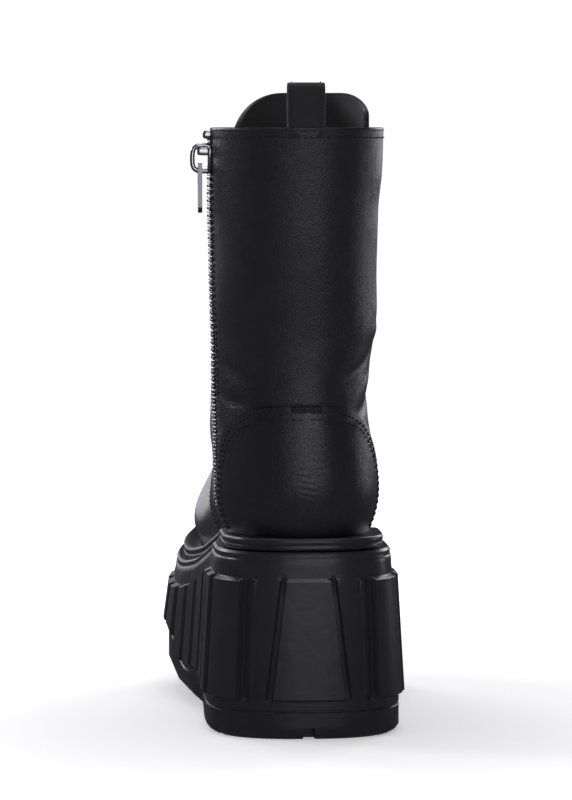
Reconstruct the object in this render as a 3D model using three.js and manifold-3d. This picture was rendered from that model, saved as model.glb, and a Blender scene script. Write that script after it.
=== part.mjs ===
// Right platform boot: a moulded platform sole, a lasted mid-calf upper with a side zip, a tongue and laces.
// Millimetres. +Y runs from heel to toe, +X to the outer (lateral) side of the foot, +Z up from the floor.
// Until the last lines, y = 0 is the back of the sole's top rim and x = 0 the middle of the heel.

import * as THREE from 'three';
import { mergeVertices } from 'three/addons/utils/BufferGeometryUtils.js';
import Module from 'manifold-3d';

const wasm = await Module();
wasm.setup();

// ---- Driving dimensions ----

const GAP = 0.3;
const SEAT_GAP = 0.6;
const RIM_LENGTH = 276;
const MIDSOLE_HEIGHT = 6.7;
const MIDSOLE_INSET = 3.6;
const INSOLE_THICKNESS = 3;
const WALL = 2.4;
const COLLAR_HEIGHT = 307;
const TONGUE_TOP = 325;
const TONGUE_THICKNESS = 3;
const LOOP_TOP = 330;
const LOOP_WIDTH = 19;
const LOOP_CENTRE = -0.8;
const ZIP_Y = 52;
const ZIP_WIDTH = 6;
const ZIP_FOOT = 112;
const ZIP_TOP = 293;
const SLIDER_HEIGHT = 291;
const PULL_LENGTH = 24.3;
const COUNTER_TOP = 167;
const COUNTER_FRONT = 46.5;
const COUNTER_PROUD = 1.6;
const EYELET_PAIRS = 7;
const FIRST_EYELET_HEIGHT = 160;
const EYELET_SPACING = 22.5;
const LACE_RADIUS = 1.9;
const LACE_HIDDEN = 0.13;

// The sole by station along its length: half widths of the top rim from the bent centre line, heights of the top
// and the bottom, height where the side lugs end, and the height and inset of the bevel down to the tread.
const SOLE_SECTIONS = [
  { y: 0, medial: 45, lateral: 44.5, top: 94, bottom: 0, lugFoot: 19.5, bevelHeight: 3, bevelInset: 3.5 },
  { y: 60, medial: 45, lateral: 44.5, top: 94, bottom: 0, lugFoot: 19.5, bevelHeight: 3, bevelInset: 3.5 },
  { y: 88, medial: 45, lateral: 43.5, top: 91, bottom: 0, lugFoot: 20.5, bevelHeight: 4, bevelInset: 4 },
  { y: 114, medial: 48, lateral: 44, top: 84.5, bottom: 12, lugFoot: 23.5, bevelHeight: 8, bevelInset: 7 },
  { y: 140, medial: 52, lateral: 49.5, top: 77.5, bottom: 0, lugFoot: 22, bevelHeight: 15, bevelInset: 10 },
  { y: 178, medial: 55.5, lateral: 53.5, top: 73.5, bottom: 0, lugFoot: 38, bevelHeight: 19, bevelInset: 12 },
  { y: 215, medial: 52, lateral: 53, top: 75.5, bottom: 0, lugFoot: 40, bevelHeight: 19, bevelInset: 12 },
  { y: 248, medial: 46, lateral: 49, top: 81, bottom: 6, lugFoot: 43, bevelHeight: 17, bevelInset: 11 },
  { y: 276, medial: 40, lateral: 43, top: 88, bottom: 15, lugFoot: 49, bevelHeight: 14, bevelInset: 9 },
];

// Sideways bend of the last: the centre line's x by station. The toe leans to the medial side.
const LAST_BEND = [
  { y: 0, x: 0 },
  { y: 60, x: 0.4 },
  { y: 112, x: 2 },
  { y: 160, x: 0.5 },
  { y: 215, x: -4 },
  { y: 276, x: -10 },
];

// Half widths of the foot part of the upper by station, and of the leg part by height.
const FOOT_WIDTHS = [
  { y: 0, medial: 42.8, lateral: 38.5 },
  { y: 60, medial: 43.6, lateral: 38.3 },
  { y: 100, medial: 42.2, lateral: 36.5 },
  { y: 140, medial: 45, lateral: 42.5 },
  { y: 178, medial: 49, lateral: 47 },
  { y: 215, medial: 46, lateral: 47 },
  { y: 268, medial: 40, lateral: 42 },
];
const LEG_WIDTHS = [
  { z: 140, medial: 44.4, lateral: 35.2 },
  { z: 160, medial: 45, lateral: 34.1 },
  { z: 180, medial: 45.5, lateral: 34.5 },
  { z: 195, medial: 45.8, lateral: 37.2 },
  { z: 206, medial: 46, lateral: 39.4 },
  { z: 240, medial: 46.4, lateral: 38.8 },
  { z: 265, medial: 46.6, lateral: 39.4 },
  { z: 285, medial: 46.6, lateral: 41.4 },
  { z: 307, medial: 46.4, lateral: 42 },
];

// How much narrower the foot is over its shoulders than at its foot, by length.
const SHOULDERS = [
  { y: 0, lean: 0 },
  { y: 112, lean: 0 },
  { y: 130, lean: 0.04 },
  { y: 150, lean: 0.13 },
  { y: 178, lean: 0.26 },
  { y: 215, lean: 0.29 },
  { y: 276, lean: 0.29 },
];
const SHOULDER_HEIGHTS = { low: 4, high: 49 };

// Side view of the upper: the back line by height.
const BACK_LINE = [
  { z: 100, y: 12.5 },
  { z: 112, y: 8.5 },
  { z: 125, y: 7 },
  { z: 145, y: 9 },
  { z: 170, y: 13 },
  { z: 195, y: 13 },
  { z: 235, y: 9.5 },
  { z: 307, y: 5 },
];

// Rings of the upper from the feather edge up to the collar: height at the back, and reach, height and
// length of the rounding at the front. The fronts follow the toe, the vamp and the shin.
const RINGS = [
  { rise: 0, back: 0, reach: 261, front: 0, round: 66 },
  { rise: 0.08, back: 109, reach: 266.5, front: 100, round: 64 },
  { rise: 0.16, back: 118, reach: 266, front: 112, round: 62 },
  { rise: 0.24, back: 128, reach: 257, front: 123.5, round: 62 },
  { rise: 0.32, back: 138, reach: 238, front: 132.5, round: 64 },
  { rise: 0.4, back: 149, reach: 213, front: 142, round: 68 },
  { rise: 0.48, back: 161, reach: 188, front: 155, round: 72 },
  { rise: 0.56, back: 175, reach: 164, front: 172.5, round: 70 },
  { rise: 0.64, back: 192, reach: 144, front: 193, round: 64 },
  { rise: 0.72, back: 213, reach: 129, front: 216, round: 58 },
  { rise: 0.8, back: 238, reach: 120, front: 241, round: 56 },
  { rise: 0.9, back: 272, reach: 115.5, front: 273, round: 56 },
  { rise: 1, back: 307, reach: 114, front: 307, round: 56 },
];

// Stations across the back of the heel: distance from the middle at the top and at the foot of the wall, and how
// far the wall stands out there. In the middle is a raised panel that widens downwards, then a channel and a groove.
const HEEL_BACK = [
  { top: 0, foot: 0, relief: 1.6 },
  { top: 10.6, foot: 16.8, relief: 1.6 },
  { top: 11.3, foot: 17.6, relief: -0.7 },
  { top: 14.3, foot: 21.6, relief: -0.7 },
  { top: 14.9, foot: 22.2, relief: 0 },
  { top: 26, foot: 26, relief: 0 },
  { top: 26.6, foot: 26.6, relief: -1.4 },
  { top: 28.2, foot: 28.2, relief: -1.4 },
  { top: 28.8, foot: 28.8, relief: 0 },
];
const LUG_PROUD = 3;
const LUG_EDGE = 0.9;
const CORNER_LUG = { from: 33, to: 55 };
const SIDE_LUG_COUNT = 12;
const SIDE_LUG_WIDTH = 16;
const SIDE_LUG_START = 61.5;
const HEEL_BEND = 60;
const TOE_BEND = 75;

// ---- Curves and small maths ----

/** Smooth value of one column of a table at any position, by a cubic through its rows that never overshoots. */
function smoothColumn(table, key, column) {
  const at = table.map((row) => row[key]);
  const value = table.map((row) => row[column]);
  const last = table.length - 1;
  const step = at.slice(1).map((position, i) => position - at[i]);
  const rate = step.map((width, i) => (value[i + 1] - value[i]) / width);
  const slope = value.map((_, i) => {
    if (i === 0 || i === last) {
      return rate[i === 0 ? 0 : last - 1];
    }
    if (rate[i - 1] * rate[i] <= 0) {
      return 0;
    }
    const before = 2 * step[i] + step[i - 1];
    const after = step[i] + 2 * step[i - 1];
    return (before + after) / (before / rate[i - 1] + after / rate[i]);
  });
  return (position) => {
    const p = THREE.MathUtils.clamp(position, at[0], at[last]);
    const i = Math.min(last - 1, at.findLastIndex((start) => start <= p));
    const t = (p - at[i]) / step[i];
    const rest = 1 - t;
    return value[i] * rest * rest * (1 + 2 * t) + value[i + 1] * t * t * (3 - 2 * t)
      + step[i] * t * rest * (slope[i] * rest - slope[i + 1] * t);
  };
}

const mix = THREE.MathUtils.lerp;

/** 0 at an end of an outline, 1 once t reaches 1, along a rounded quarter of a superellipse. */
function roundEnd(t, power) {
  const left = 1 - THREE.MathUtils.clamp(t, 0, 1);
  return (1 - left ** power) ** (1 / power);
}

// ---- Solids ----

/** Indexed geometry from points and triangle indices. */
function geometryFrom(points, faces) {
  const geometry = new THREE.BufferGeometry();
  geometry.setAttribute('position', new THREE.Float32BufferAttribute(points.flatMap((p) => [p.x, p.y, p.z]), 3));
  geometry.setIndex(faces);
  return geometry;
}

/** Triangles of the wall between two rings that start at indices low and high. */
function wallFaces(low, high, count) {
  const faces = [];
  for (let i = 0; i < count; i += 1) {
    const next = (i + 1) % count;
    faces.push(low + i, low + next, high + next, low + i, high + next, high + i);
  }
  return faces;
}

/** Triangles that close a ring by strips between point i and its partner across the ring, facing up. */
function capFaces(start, count) {
  const half = count / 2;
  const faces = [start, start + 1, start + count - 1];
  for (let i = 1; i < half - 1; i += 1) {
    const partner = start + count - i;
    faces.push(start + i, start + i + 1, partner - 1, start + i, partner - 1, partner);
  }
  faces.push(start + half - 1, start + half, start + half + 1);
  return faces;
}

const flipped = (faces) => faces.toReversed();

/** Closed body from a stack of rings, lowest first. */
function stackedSolid(rings) {
  const count = rings[0].length;
  const top = (rings.length - 1) * count;
  const walls = rings.slice(1).flatMap((_, i) => wallFaces(i * count, (i + 1) * count, count));
  return geometryFrom(rings.flat(), [...walls, ...flipped(capFaces(0, count)), ...capFaces(top, count)]);
}

/** Closed wall between an outer and an inner stack of rings, open at both ends. */
function shellSolid(outer, inner) {
  const count = outer[0].length;
  const rows = outer.length;
  const insideStart = rows * count;
  const faces = [];
  for (let row = 0; row < rows - 1; row += 1) {
    faces.push(...wallFaces(row * count, (row + 1) * count, count));
    faces.push(...flipped(wallFaces(insideStart + row * count, insideStart + (row + 1) * count, count)));
  }
  faces.push(...wallFaces(insideStart, 0, count));
  faces.push(...wallFaces((rows - 1) * count, insideStart + (rows - 1) * count, count));
  return geometryFrom([...outer.flat(), ...inner.flat()], faces);
}

/** A geometry as a solid for cutting and joining. */
function solid(geometry) {
  const bare = geometry.clone();
  bare.deleteAttribute('normal');
  bare.deleteAttribute('uv');
  const merged = mergeVertices(bare, 1e-5);
  return new wasm.Manifold(new wasm.Mesh({
    numProp: 3,
    vertProperties: new Float32Array(merged.attributes.position.array),
    triVerts: new Uint32Array(merged.index.array),
  }));
}

/** A cut or joined solid back as a geometry. */
function geometryOf(body) {
  const mesh = body.getMesh();
  const geometry = new THREE.BufferGeometry();
  geometry.setAttribute('position', new THREE.BufferAttribute(new Float32Array(mesh.vertProperties), 3));
  geometry.setIndex(new THREE.BufferAttribute(new Uint32Array(mesh.triVerts), 1));
  return geometry;
}

/** Outline drawn in the side view (y, z), run straight across from x = from to x = to. */
function sidePrism(shape, from, to, curveSegments = 8) {
  const geometry = new THREE.ExtrudeGeometry(shape, { depth: to - from, bevelEnabled: false, curveSegments });
  geometry.applyMatrix4(new THREE.Matrix4().set(0, 0, 1, from, 1, 0, 0, 0, 0, 1, 0, 0, 0, 0, 0, 1));
  return geometry;
}

/** Outline drawn in the front view (x, z), run straight from y = from to y = to. */
function frontPrism(shape, from, to, curveSegments = 6) {
  const geometry = new THREE.ExtrudeGeometry(shape, { depth: to - from, bevelEnabled: false, curveSegments });
  geometry.rotateX(Math.PI / 2);
  return geometry.translate(0, to, 0);
}

/** Rectangle as a shape. */
function rectangle(left, bottom, right, top) {
  const corners = [[left, bottom], [right, bottom], [right, top], [left, top]];
  return new THREE.Shape(corners.map(([x, y]) => new THREE.Vector2(x, y)));
}

/** Box between two corners. */
function boxBetween(x0, x1, y0, y1, z0, z1) {
  const box = new THREE.BoxGeometry(x1 - x0, y1 - y0, z1 - z0);
  return box.translate((x0 + x1) / 2, (y0 + y1) / 2, (z0 + z1) / 2);
}

// ---- Sole ----

const HEEL_ROUND = { length: 46, power: 2.6 };
const TOE_ROUND = { length: 78, power: 2.25 };
const END_FLARE = 0.5;

const sole = Object.fromEntries(
  Object.keys(SOLE_SECTIONS[0]).filter((key) => key !== 'y').map((key) => [key, smoothColumn(SOLE_SECTIONS, 'y', key)]),
);
const lastBend = smoothColumn(LAST_BEND, 'y', 'x');

/** Half width of the rim on one side, rounded in to nothing at the heel and at the toe. */
function rimHalf(side, y) {
  const heel = roundEnd(y / HEEL_ROUND.length, HEEL_ROUND.power);
  const toe = roundEnd((RIM_LENGTH - y) / TOE_ROUND.length, TOE_ROUND.power);
  return sole[side](y) * heel * toe;
}

/** Rim point at travel 0 (heel) to 1 (toe) along the lateral side, and 0 to -1 along the medial side. */
function rimPoint(travel) {
  const y = RIM_LENGTH * (1 - Math.cos(Math.PI * travel)) / 2;
  const side = travel < 0 ? 'medial' : 'lateral';
  return new THREE.Vector2(lastBend(y) + Math.sign(travel) * rimHalf(side, y), y);
}

/** Outward direction of the rim, seen from above. */
function rimNormal(travel) {
  const reach = 1e-4;
  const ahead = travel + reach > 1 ? travel + reach - 2 : travel + reach;
  const tangent = rimPoint(ahead).sub(rimPoint(travel - reach)).normalize();
  return new THREE.Vector2(tangent.y, -tangent.x);
}

const travelAtY = (y) => Math.acos(1 - 2 * y / RIM_LENGTH) / Math.PI;

/** Travel of the rim point at a distance from the middle of the heel's back. */
function travelAtBack(distance) {
  const { length, power } = HEEL_ROUND;
  const share = distance / sole.lateral(0);
  return travelAtY(length * (1 - (1 - share ** power) ** (1 / power)));
}

/** Travel by length walked along the lateral rim from the middle of the heel. */
function rimWalk() {
  const steps = 1200;
  const table = [{ length: 0, travel: 0 }];
  for (let i = 1; i <= steps; i += 1) {
    const travel = i / steps;
    const length = table[i - 1].length + rimPoint(travel).distanceTo(rimPoint(table[i - 1].travel));
    table.push({ length, travel });
  }
  return table;
}

const walk = rimWalk();
const walkLength = walk.at(-1).length;
const travelAtLength = (length) => walk.find((row) => row.length >= length).travel;

/** Spans of the side lugs, as lengths along the rim. The last one is centred on the toe. */
function lugSpans() {
  const pitch = (walkLength - SIDE_LUG_START - SIDE_LUG_WIDTH / 2) / SIDE_LUG_COUNT;
  const spans = [CORNER_LUG];
  for (let i = 0; i < SIDE_LUG_COUNT; i += 1) {
    const from = SIDE_LUG_START + i * pitch;
    spans.push({ from, to: from + SIDE_LUG_WIDTH });
  }
  spans.push({ from: walkLength - SIDE_LUG_WIDTH / 2, to: walkLength });
  return spans;
}

/** Stations of the sole's wall on one side, heel to toe: travel at the top and at the foot, and relief. */
function wallStations() {
  const stations = HEEL_BACK.map(({ top, foot, relief }) => (
    { top: travelAtBack(top), foot: travelAtBack(foot), relief }
  ));
  const add = (length, relief) => {
    const travel = length >= walkLength ? 1 : travelAtLength(length);
    stations.push({ top: travel, foot: travel, relief });
  };
  for (const { from, to } of lugSpans()) {
    add(from, 0);
    add(from + LUG_EDGE, LUG_PROUD);
    if (to < walkLength) {
      if (from < HEEL_BEND || to > walkLength - TOE_BEND) {
        add((from + to) / 2, LUG_PROUD);
      }
      add(to - LUG_EDGE, LUG_PROUD);
      add(to, 0);
    } else {
      add(to, LUG_PROUD);
    }
  }
  return stations;
}

const RIM_BAND = 3.6;
const LUG_TOP_DROP = 13;
const UNDER_RIM = -1.6;
const FLARE = 6.2;

/** Levels of the sole's wall from the floor up, at one station: height, offset from the rim, share of relief. */
function wallLevels(y) {
  const top = sole.top(y);
  const bottom = sole.bottom(y);
  const lugFoot = sole.lugFoot(y);
  const bevelHeight = sole.bevelHeight(y);
  const bevelInset = sole.bevelInset(y);
  const lugTop = top - LUG_TOP_DROP;
  const flare = (z) => UNDER_RIM + FLARE * (top - RIM_BAND - z) / (top - RIM_BAND - lugFoot);
  const foot = flare(lugFoot);
  return [
    { z: bottom, offset: foot - bevelInset, relief: 0 },
    { z: bottom + bevelHeight * 0.4, offset: foot - bevelInset * 0.4, relief: 0 },
    { z: bottom + bevelHeight, offset: foot, relief: 0 },
    { z: lugFoot - 0.8, offset: foot, relief: 0 },
    { z: lugFoot + 0.6, offset: foot, relief: 1 },
    { z: lugTop - 1.6, offset: flare(lugTop - 1.6), relief: 1 },
    { z: lugTop, offset: flare(lugTop), relief: 0 },
    { z: top - RIM_BAND - 0.8, offset: UNDER_RIM, relief: 0 },
    { z: top - RIM_BAND, offset: 0, relief: 0 },
    { z: top - 1.2, offset: 0, relief: 0 },
    { z: top, offset: -1.2, relief: 0 },
  ];
}

/** How far a level is up the lugs at the heel: 0 at their foot, 1 at their top. */
function heelRise(level) {
  const heights = wallLevels(0).map(({ z }) => z);
  const rise = (heights[level] - heights[3]) / (heights[6] - heights[3]);
  return Math.min(1, Math.max(0, rise));
}

/** One point of the sole's wall on the side given by sign. */
function wallPoint(station, sign, level) {
  const travel = mix(station.foot, station.top, heelRise(level));
  const rim = rimPoint(sign * travel);
  const normal = rimNormal(sign * travel);
  const { z, offset, relief } = wallLevels(rim.y)[level];
  const out = relief * station.relief;
  return new THREE.Vector3(rim.x + normal.x * (offset + out), rim.y + normal.y * (offset * END_FLARE + out), z);
}

/** Ring around one level of the sole: up the lateral side and back down the medial side. */
function soleRing(stations, level) {
  const lateral = stations.map((station) => wallPoint(station, 1, level));
  const medial = stations.slice(1, -1).map((station) => wallPoint(station, -1, level));
  return [...lateral, ...medial.toReversed()];
}

/** Grooves of the tread: across the heel and the forefoot, and a notch in the middle of the heel's back edge. */
function treadGrooves() {
  const depth = 4.5;
  const width = 5;
  const across = [22, 42, 62, 158, 176, 194, 212, 230, 247];
  const cuts = across.map((y) => {
    const floor = sole.bottom(y);
    return solid(boxBetween(-80, 80, y - width / 2, y + width / 2, floor - 8, floor + depth));
  });
  cuts.push(solid(boxBetween(-3, 3, -20, 6, -8, 5.5)));
  return cuts;
}

function platformSole() {
  const stations = wallStations();
  const levels = wallLevels(0).map((_, level) => level);
  const block = solid(stackedSolid(levels.map((level) => soleRing(stations, level))));
  return geometryOf(treadGrooves().reduce((body, cut) => body.subtract(cut), block));
}

/** Ring that follows the rim at an inset, at a height above the sole's top. */
function rimRing(inset, height) {
  const half = 28;
  const point = (travel) => {
    const rim = rimPoint(travel);
    const normal = rimNormal(travel);
    const spot = rim.addScaledVector(normal, -inset);
    return new THREE.Vector3(spot.x, spot.y, sole.top(spot.y) + height);
  };
  return Array.from({ length: 2 * half }, (_, i) => point(i <= half ? i / half : i / half - 2));
}

function midsole() {
  return stackedSolid([
    rimRing(MIDSOLE_INSET + 0.8, GAP),
    rimRing(MIDSOLE_INSET, GAP + 0.9),
    rimRing(MIDSOLE_INSET, MIDSOLE_HEIGHT - 1),
    rimRing(MIDSOLE_INSET + 1.2, MIDSOLE_HEIGHT),
  ]);
}

// ---- Upper ----

const featherHeight = (y) => sole.top(y) + MIDSOLE_HEIGHT + SEAT_GAP;
const foot = { medial: smoothColumn(FOOT_WIDTHS, 'y', 'medial'), lateral: smoothColumn(FOOT_WIDTHS, 'y', 'lateral') };
const leg = { medial: smoothColumn(LEG_WIDTHS, 'z', 'medial'), lateral: smoothColumn(LEG_WIDTHS, 'z', 'lateral') };
const backLine = smoothColumn(BACK_LINE, 'z', 'y');
const shoulderLean = smoothColumn(SHOULDERS, 'y', 'lean');

RINGS[0].back = featherHeight(0);
RINGS[0].front = featherHeight(RINGS[0].reach);
const ringBack = smoothColumn(RINGS, 'rise', 'back');
const ringReach = smoothColumn(RINGS, 'rise', 'reach');
const ringFront = smoothColumn(RINGS, 'rise', 'front');
const ringRound = smoothColumn(RINGS, 'rise', 'round');

const BACK_ROUND = { length: 50, power: 2.2 };
const FRONT_POWER = 2.1;
const LEG_STARTS = 122;
const LEG_ENDS = 168;
const FEATHER_TUCK = 0.12;
const TUCK_HEIGHT = 22;
const FOLLOWS_FEATHER = 0.45;

/** Point of the upper's outer face. rise runs from the feather edge (0) to the collar (1), and turn once around:
 *  0 at the heel, 0 to 0.5 along the lateral side to the toe or shin, 0.5 to 1 back along the medial side. */
function upperPoint(rise, turn) {
  const reach = ringReach(rise);
  const backZ = ringBack(rise);
  const backY = backLine(backZ);
  const frontZ = ringFront(rise);
  const share = (1 - Math.cos(2 * Math.PI * turn)) / 2;
  const y = mix(backY, reach, share);
  const bow = featherHeight(y) - mix(featherHeight(backY), featherHeight(reach), share);
  const bowed = 1 - THREE.MathUtils.smoothstep(rise, 0, FOLLOWS_FEATHER);
  const z = mix(backZ, frontZ, share) + bow * bowed;
  const side = turn < 0.5 ? 'lateral' : 'medial';
  const height = z - featherHeight(y);
  const { low: from, high: to } = SHOULDER_HEIGHTS;
  const footHalf = foot[side](y) * (1 - shoulderLean(y) * THREE.MathUtils.smoothstep(height, from, to));
  const half = mix(footHalf, leg[side](z), THREE.MathUtils.smoothstep(z, LEG_STARTS, LEG_ENDS));
  const low = Math.max(0, 1 - height / TUCK_HEIGHT);
  const back = roundEnd((y - backY) / BACK_ROUND.length, BACK_ROUND.power);
  const front = roundEnd((reach - y) / ringRound(rise), FRONT_POWER);
  const width = half * (1 - FEATHER_TUCK * low * low) * back * front;
  return new THREE.Vector3(lastBend(y) + (side === 'lateral' ? width : -width), y, z);
}

/** Outward direction of the upper's outer face. */
function upperNormal(rise, turn) {
  const reach = 1e-3;
  const wrap = (value) => (value + 1) % 1;
  const around = upperPoint(rise, wrap(turn + reach)).sub(upperPoint(rise, wrap(turn - reach)));
  const up = upperPoint(Math.min(1, rise + reach), turn).sub(upperPoint(Math.max(0, rise - reach), turn));
  return around.cross(up).normalize();
}

/** Point at an offset from the upper's outer face. Along the two edges the offset is level. */
function offsetPoint(rise, turn, offset) {
  const normal = upperNormal(rise, turn);
  if (rise === 0 || rise === 1) {
    normal.setZ(0).normalize();
  }
  return upperPoint(rise, turn).addScaledVector(normal, offset);
}

const UPPER_COLUMNS = 36;
const UPPER_ROWS = 18;

/** Stack of rings at an offset from the upper's outer face. */
function upperRings(offset) {
  return Array.from({ length: UPPER_ROWS + 1 }, (_, row) => (
    Array.from({ length: UPPER_COLUMNS }, (__, column) => offsetPoint(row / UPPER_ROWS, column / UPPER_COLUMNS, offset))
  ));
}

/** Solid form of the upper at an offset, carried straight up above the collar. */
function upperForm(offset) {
  const rings = upperRings(offset);
  const raised = rings.at(-1).map((point) => point.clone().setZ(TONGUE_TOP + 10));
  return solid(stackedSolid([...rings, raised]));
}

// ---- Throat, eyelets and zip slot ----

const THROAT = { foot: 150, footHalf: 13, topHalf: 16, centre: 2 };
const EYELET_INSET = 7.5;
const EYELET_LIFT = 0.5;

/** Half width of the throat at a height. */
const throatHalf = (z) => mix(THROAT.footHalf, THROAT.topHalf, (z - THROAT.foot) / (COLLAR_HEIGHT - THROAT.foot));

function throatCutter() {
  const { foot: bottom, footHalf, topHalf, centre } = THROAT;
  const shape = new THREE.Shape();
  shape.moveTo(centre + topHalf, COLLAR_HEIGHT + 20);
  shape.lineTo(centre - topHalf, COLLAR_HEIGHT + 20);
  shape.lineTo(centre - footHalf, bottom + footHalf);
  shape.absarc(centre, bottom + footHalf, footHalf, Math.PI, 2 * Math.PI, false);
  return solid(frontPrism(shape, 95, 300));
}

/** Rise of the ring whose front is at a height. */
function riseAtFront(height) {
  let [low, high] = [0.2, 1];
  while (high - low > 1e-5) {
    const middle = (low + high) / 2;
    [low, high] = ringFront(middle) < height ? [middle, high] : [low, middle];
  }
  return low;
}

/** Turn of the front point at a distance x from the middle, on the ring at a rise. */
function turnAtFront(rise, x) {
  let [inner, outer] = [0.5, x > 0 ? 0.25 : 0.75];
  while (Math.abs(inner - outer) > 1e-5) {
    const middle = (inner + outer) / 2;
    const reached = Math.abs(upperPoint(rise, middle).x - THROAT.centre);
    [inner, outer] = reached < Math.abs(x) ? [middle, outer] : [inner, middle];
  }
  return inner;
}

/** Place and direction on the front of the upper, at a front height and a distance from the middle. */
function frontSpot(height, x) {
  const rise = riseAtFront(height);
  const turn = turnAtFront(rise, x);
  return { point: upperPoint(rise, turn), normal: upperNormal(rise, turn) };
}

const eyeletHeight = (pair) => FIRST_EYELET_HEIGHT + pair * EYELET_SPACING;
const eyeletSpot = (pair, sign) => frontSpot(eyeletHeight(pair), sign * (throatHalf(eyeletHeight(pair)) + EYELET_INSET));

/** Geometry built along +Y, turned to stand on a spot of the upper. */
function standOn(geometry, { point, normal }, lift) {
  const turned = new THREE.Quaternion().setFromUnitVectors(new THREE.Vector3(0, 1, 0), normal);
  const place = point.clone().addScaledVector(normal, lift);
  return geometry.applyMatrix4(new THREE.Matrix4().compose(place, turned, new THREE.Vector3(1, 1, 1)));
}

const eachEyelet = Array.from({ length: EYELET_PAIRS }, (_, pair) => [1, -1].map((sign) => ({ pair, sign }))).flat();

function upper() {
  const shell = solid(shellSolid(upperRings(0), upperRings(-WALL)));
  const zipHalf = ZIP_WIDTH / 2 + GAP;
  const zipSlot = rectangle(ZIP_Y - zipHalf, ZIP_FOOT - GAP, ZIP_Y + zipHalf, COLLAR_HEIGHT + 20);
  const cuts = [throatCutter(), solid(sidePrism(zipSlot, -80, -20))];
  for (const { pair, sign } of eachEyelet) {
    cuts.push(solid(standOn(new THREE.CylinderGeometry(2, 2, 12, 8), eyeletSpot(pair, sign), 0)));
  }
  return geometryOf(cuts.reduce((body, cut) => body.subtract(cut), shell));
}

function eyelet(pair, sign) {
  const profile = [[2.1, 0], [4.3, 0], [3.7, 1.1], [2.4, 1.1], [2.1, 0]];
  const ring = new THREE.LatheGeometry(profile.map(([r, h]) => new THREE.Vector2(r, h)), 8);
  return standOn(ring, eyeletSpot(pair, sign), EYELET_LIFT);
}

// ---- Pieces cut between two forms of the upper ----

/** Piece between two offsets from the upper's outer face, inside a cutter. */
function betweenForms(outer, inner, cutter) {
  return geometryOf(upperForm(outer).subtract(upperForm(inner)).intersect(cutter));
}

function heelCounter() {
  const bottom = featherHeight(0) + GAP;
  const shape = new THREE.Shape();
  shape.moveTo(-20, bottom);
  shape.lineTo(COUNTER_FRONT, bottom);
  shape.bezierCurveTo(COUNTER_FRONT + 1, mix(bottom, COUNTER_TOP, 0.62), 36, COUNTER_TOP, 14, COUNTER_TOP);
  shape.lineTo(-20, COUNTER_TOP);
  return betweenForms(COUNTER_PROUD, GAP, solid(sidePrism(shape, -90, 90, 10)));
}

function tongue() {
  const { centre } = THROAT;
  const shape = new THREE.Shape();
  shape.moveTo(centre - 20, 143);
  shape.lineTo(centre + 20, 143);
  shape.lineTo(centre + 30, 210);
  shape.lineTo(centre + 34, TONGUE_TOP - 8);
  shape.quadraticCurveTo(centre + 34, TONGUE_TOP, centre + 26, TONGUE_TOP);
  shape.lineTo(centre - 12, TONGUE_TOP);
  shape.quadraticCurveTo(centre - 30, TONGUE_TOP - 1, centre - 34, TONGUE_TOP - 16);
  shape.lineTo(centre - 30, 210);
  const near = WALL + 0.7;
  return betweenForms(-near, -near - TONGUE_THICKNESS, solid(frontPrism(shape, 78, 300)));
}

function zipChain() {
  const band = rectangle(ZIP_Y - ZIP_WIDTH / 2, ZIP_FOOT, ZIP_Y + ZIP_WIDTH / 2, ZIP_TOP);
  return betweenForms(0.6, -1.9, solid(sidePrism(band, -80, -20)));
}

/** Sheet inside the upper's foot, on the midsole. */
function insole() {
  const inset = WALL + 0.6;
  const ring = (lift) => upperRings(-inset)[0].map((point) => (
    point.clone().setZ(featherHeight(point.y) + lift)
  ));
  return stackedSolid([ring(GAP), ring(INSOLE_THICKNESS)]);
}

// ---- Pull loop ----

/** Band of even thickness along a path drawn in the side view. */
function bandShape(path, thickness) {
  const side = (sign) => path.map((point, i) => {
    const tangent = path[Math.min(i + 1, path.length - 1)].clone().sub(path[Math.max(i - 1, 0)]).normalize();
    return new THREE.Vector2(-tangent.y, tangent.x).multiplyScalar(sign * thickness / 2).add(point);
  });
  return new THREE.Shape([...side(-1), ...side(1).toReversed()]);
}

function pullLoop() {
  const thickness = 1.6;
  const bend = 3.1;
  const outerLeg = 6.2;
  const centre = new THREE.Vector2(outerLeg + bend, LOOP_TOP - thickness / 2 - bend);
  const path = [new THREE.Vector2(outerLeg, COLLAR_HEIGHT + GAP)];
  const arcSteps = 8;
  for (let i = 0; i <= arcSteps; i += 1) {
    const angle = Math.PI * (1 - i / arcSteps);
    path.push(new THREE.Vector2(Math.cos(angle), Math.sin(angle)).multiplyScalar(bend).add(centre));
  }
  path.push(new THREE.Vector2(12.4, 311), new THREE.Vector2(11.9, 304));
  path.push(new THREE.Vector2(11.2, 297), new THREE.Vector2(11.4, 284));
  return sidePrism(bandShape(path, thickness), LOOP_CENTRE - LOOP_WIDTH / 2, LOOP_CENTRE + LOOP_WIDTH / 2);
}

// ---- Zip slider and pull tab ----

const zipFace = () => -leg.medial(SLIDER_HEIGHT) + lastBend(ZIP_Y);
const BRIDGE = { plate: 1.7, window: 5.2, bar: 1.9, width: 2.6, height: 13.2 };
const SLIDER_LENGTH = 15;
const PLATE_LIFT = 1.4;

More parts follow.
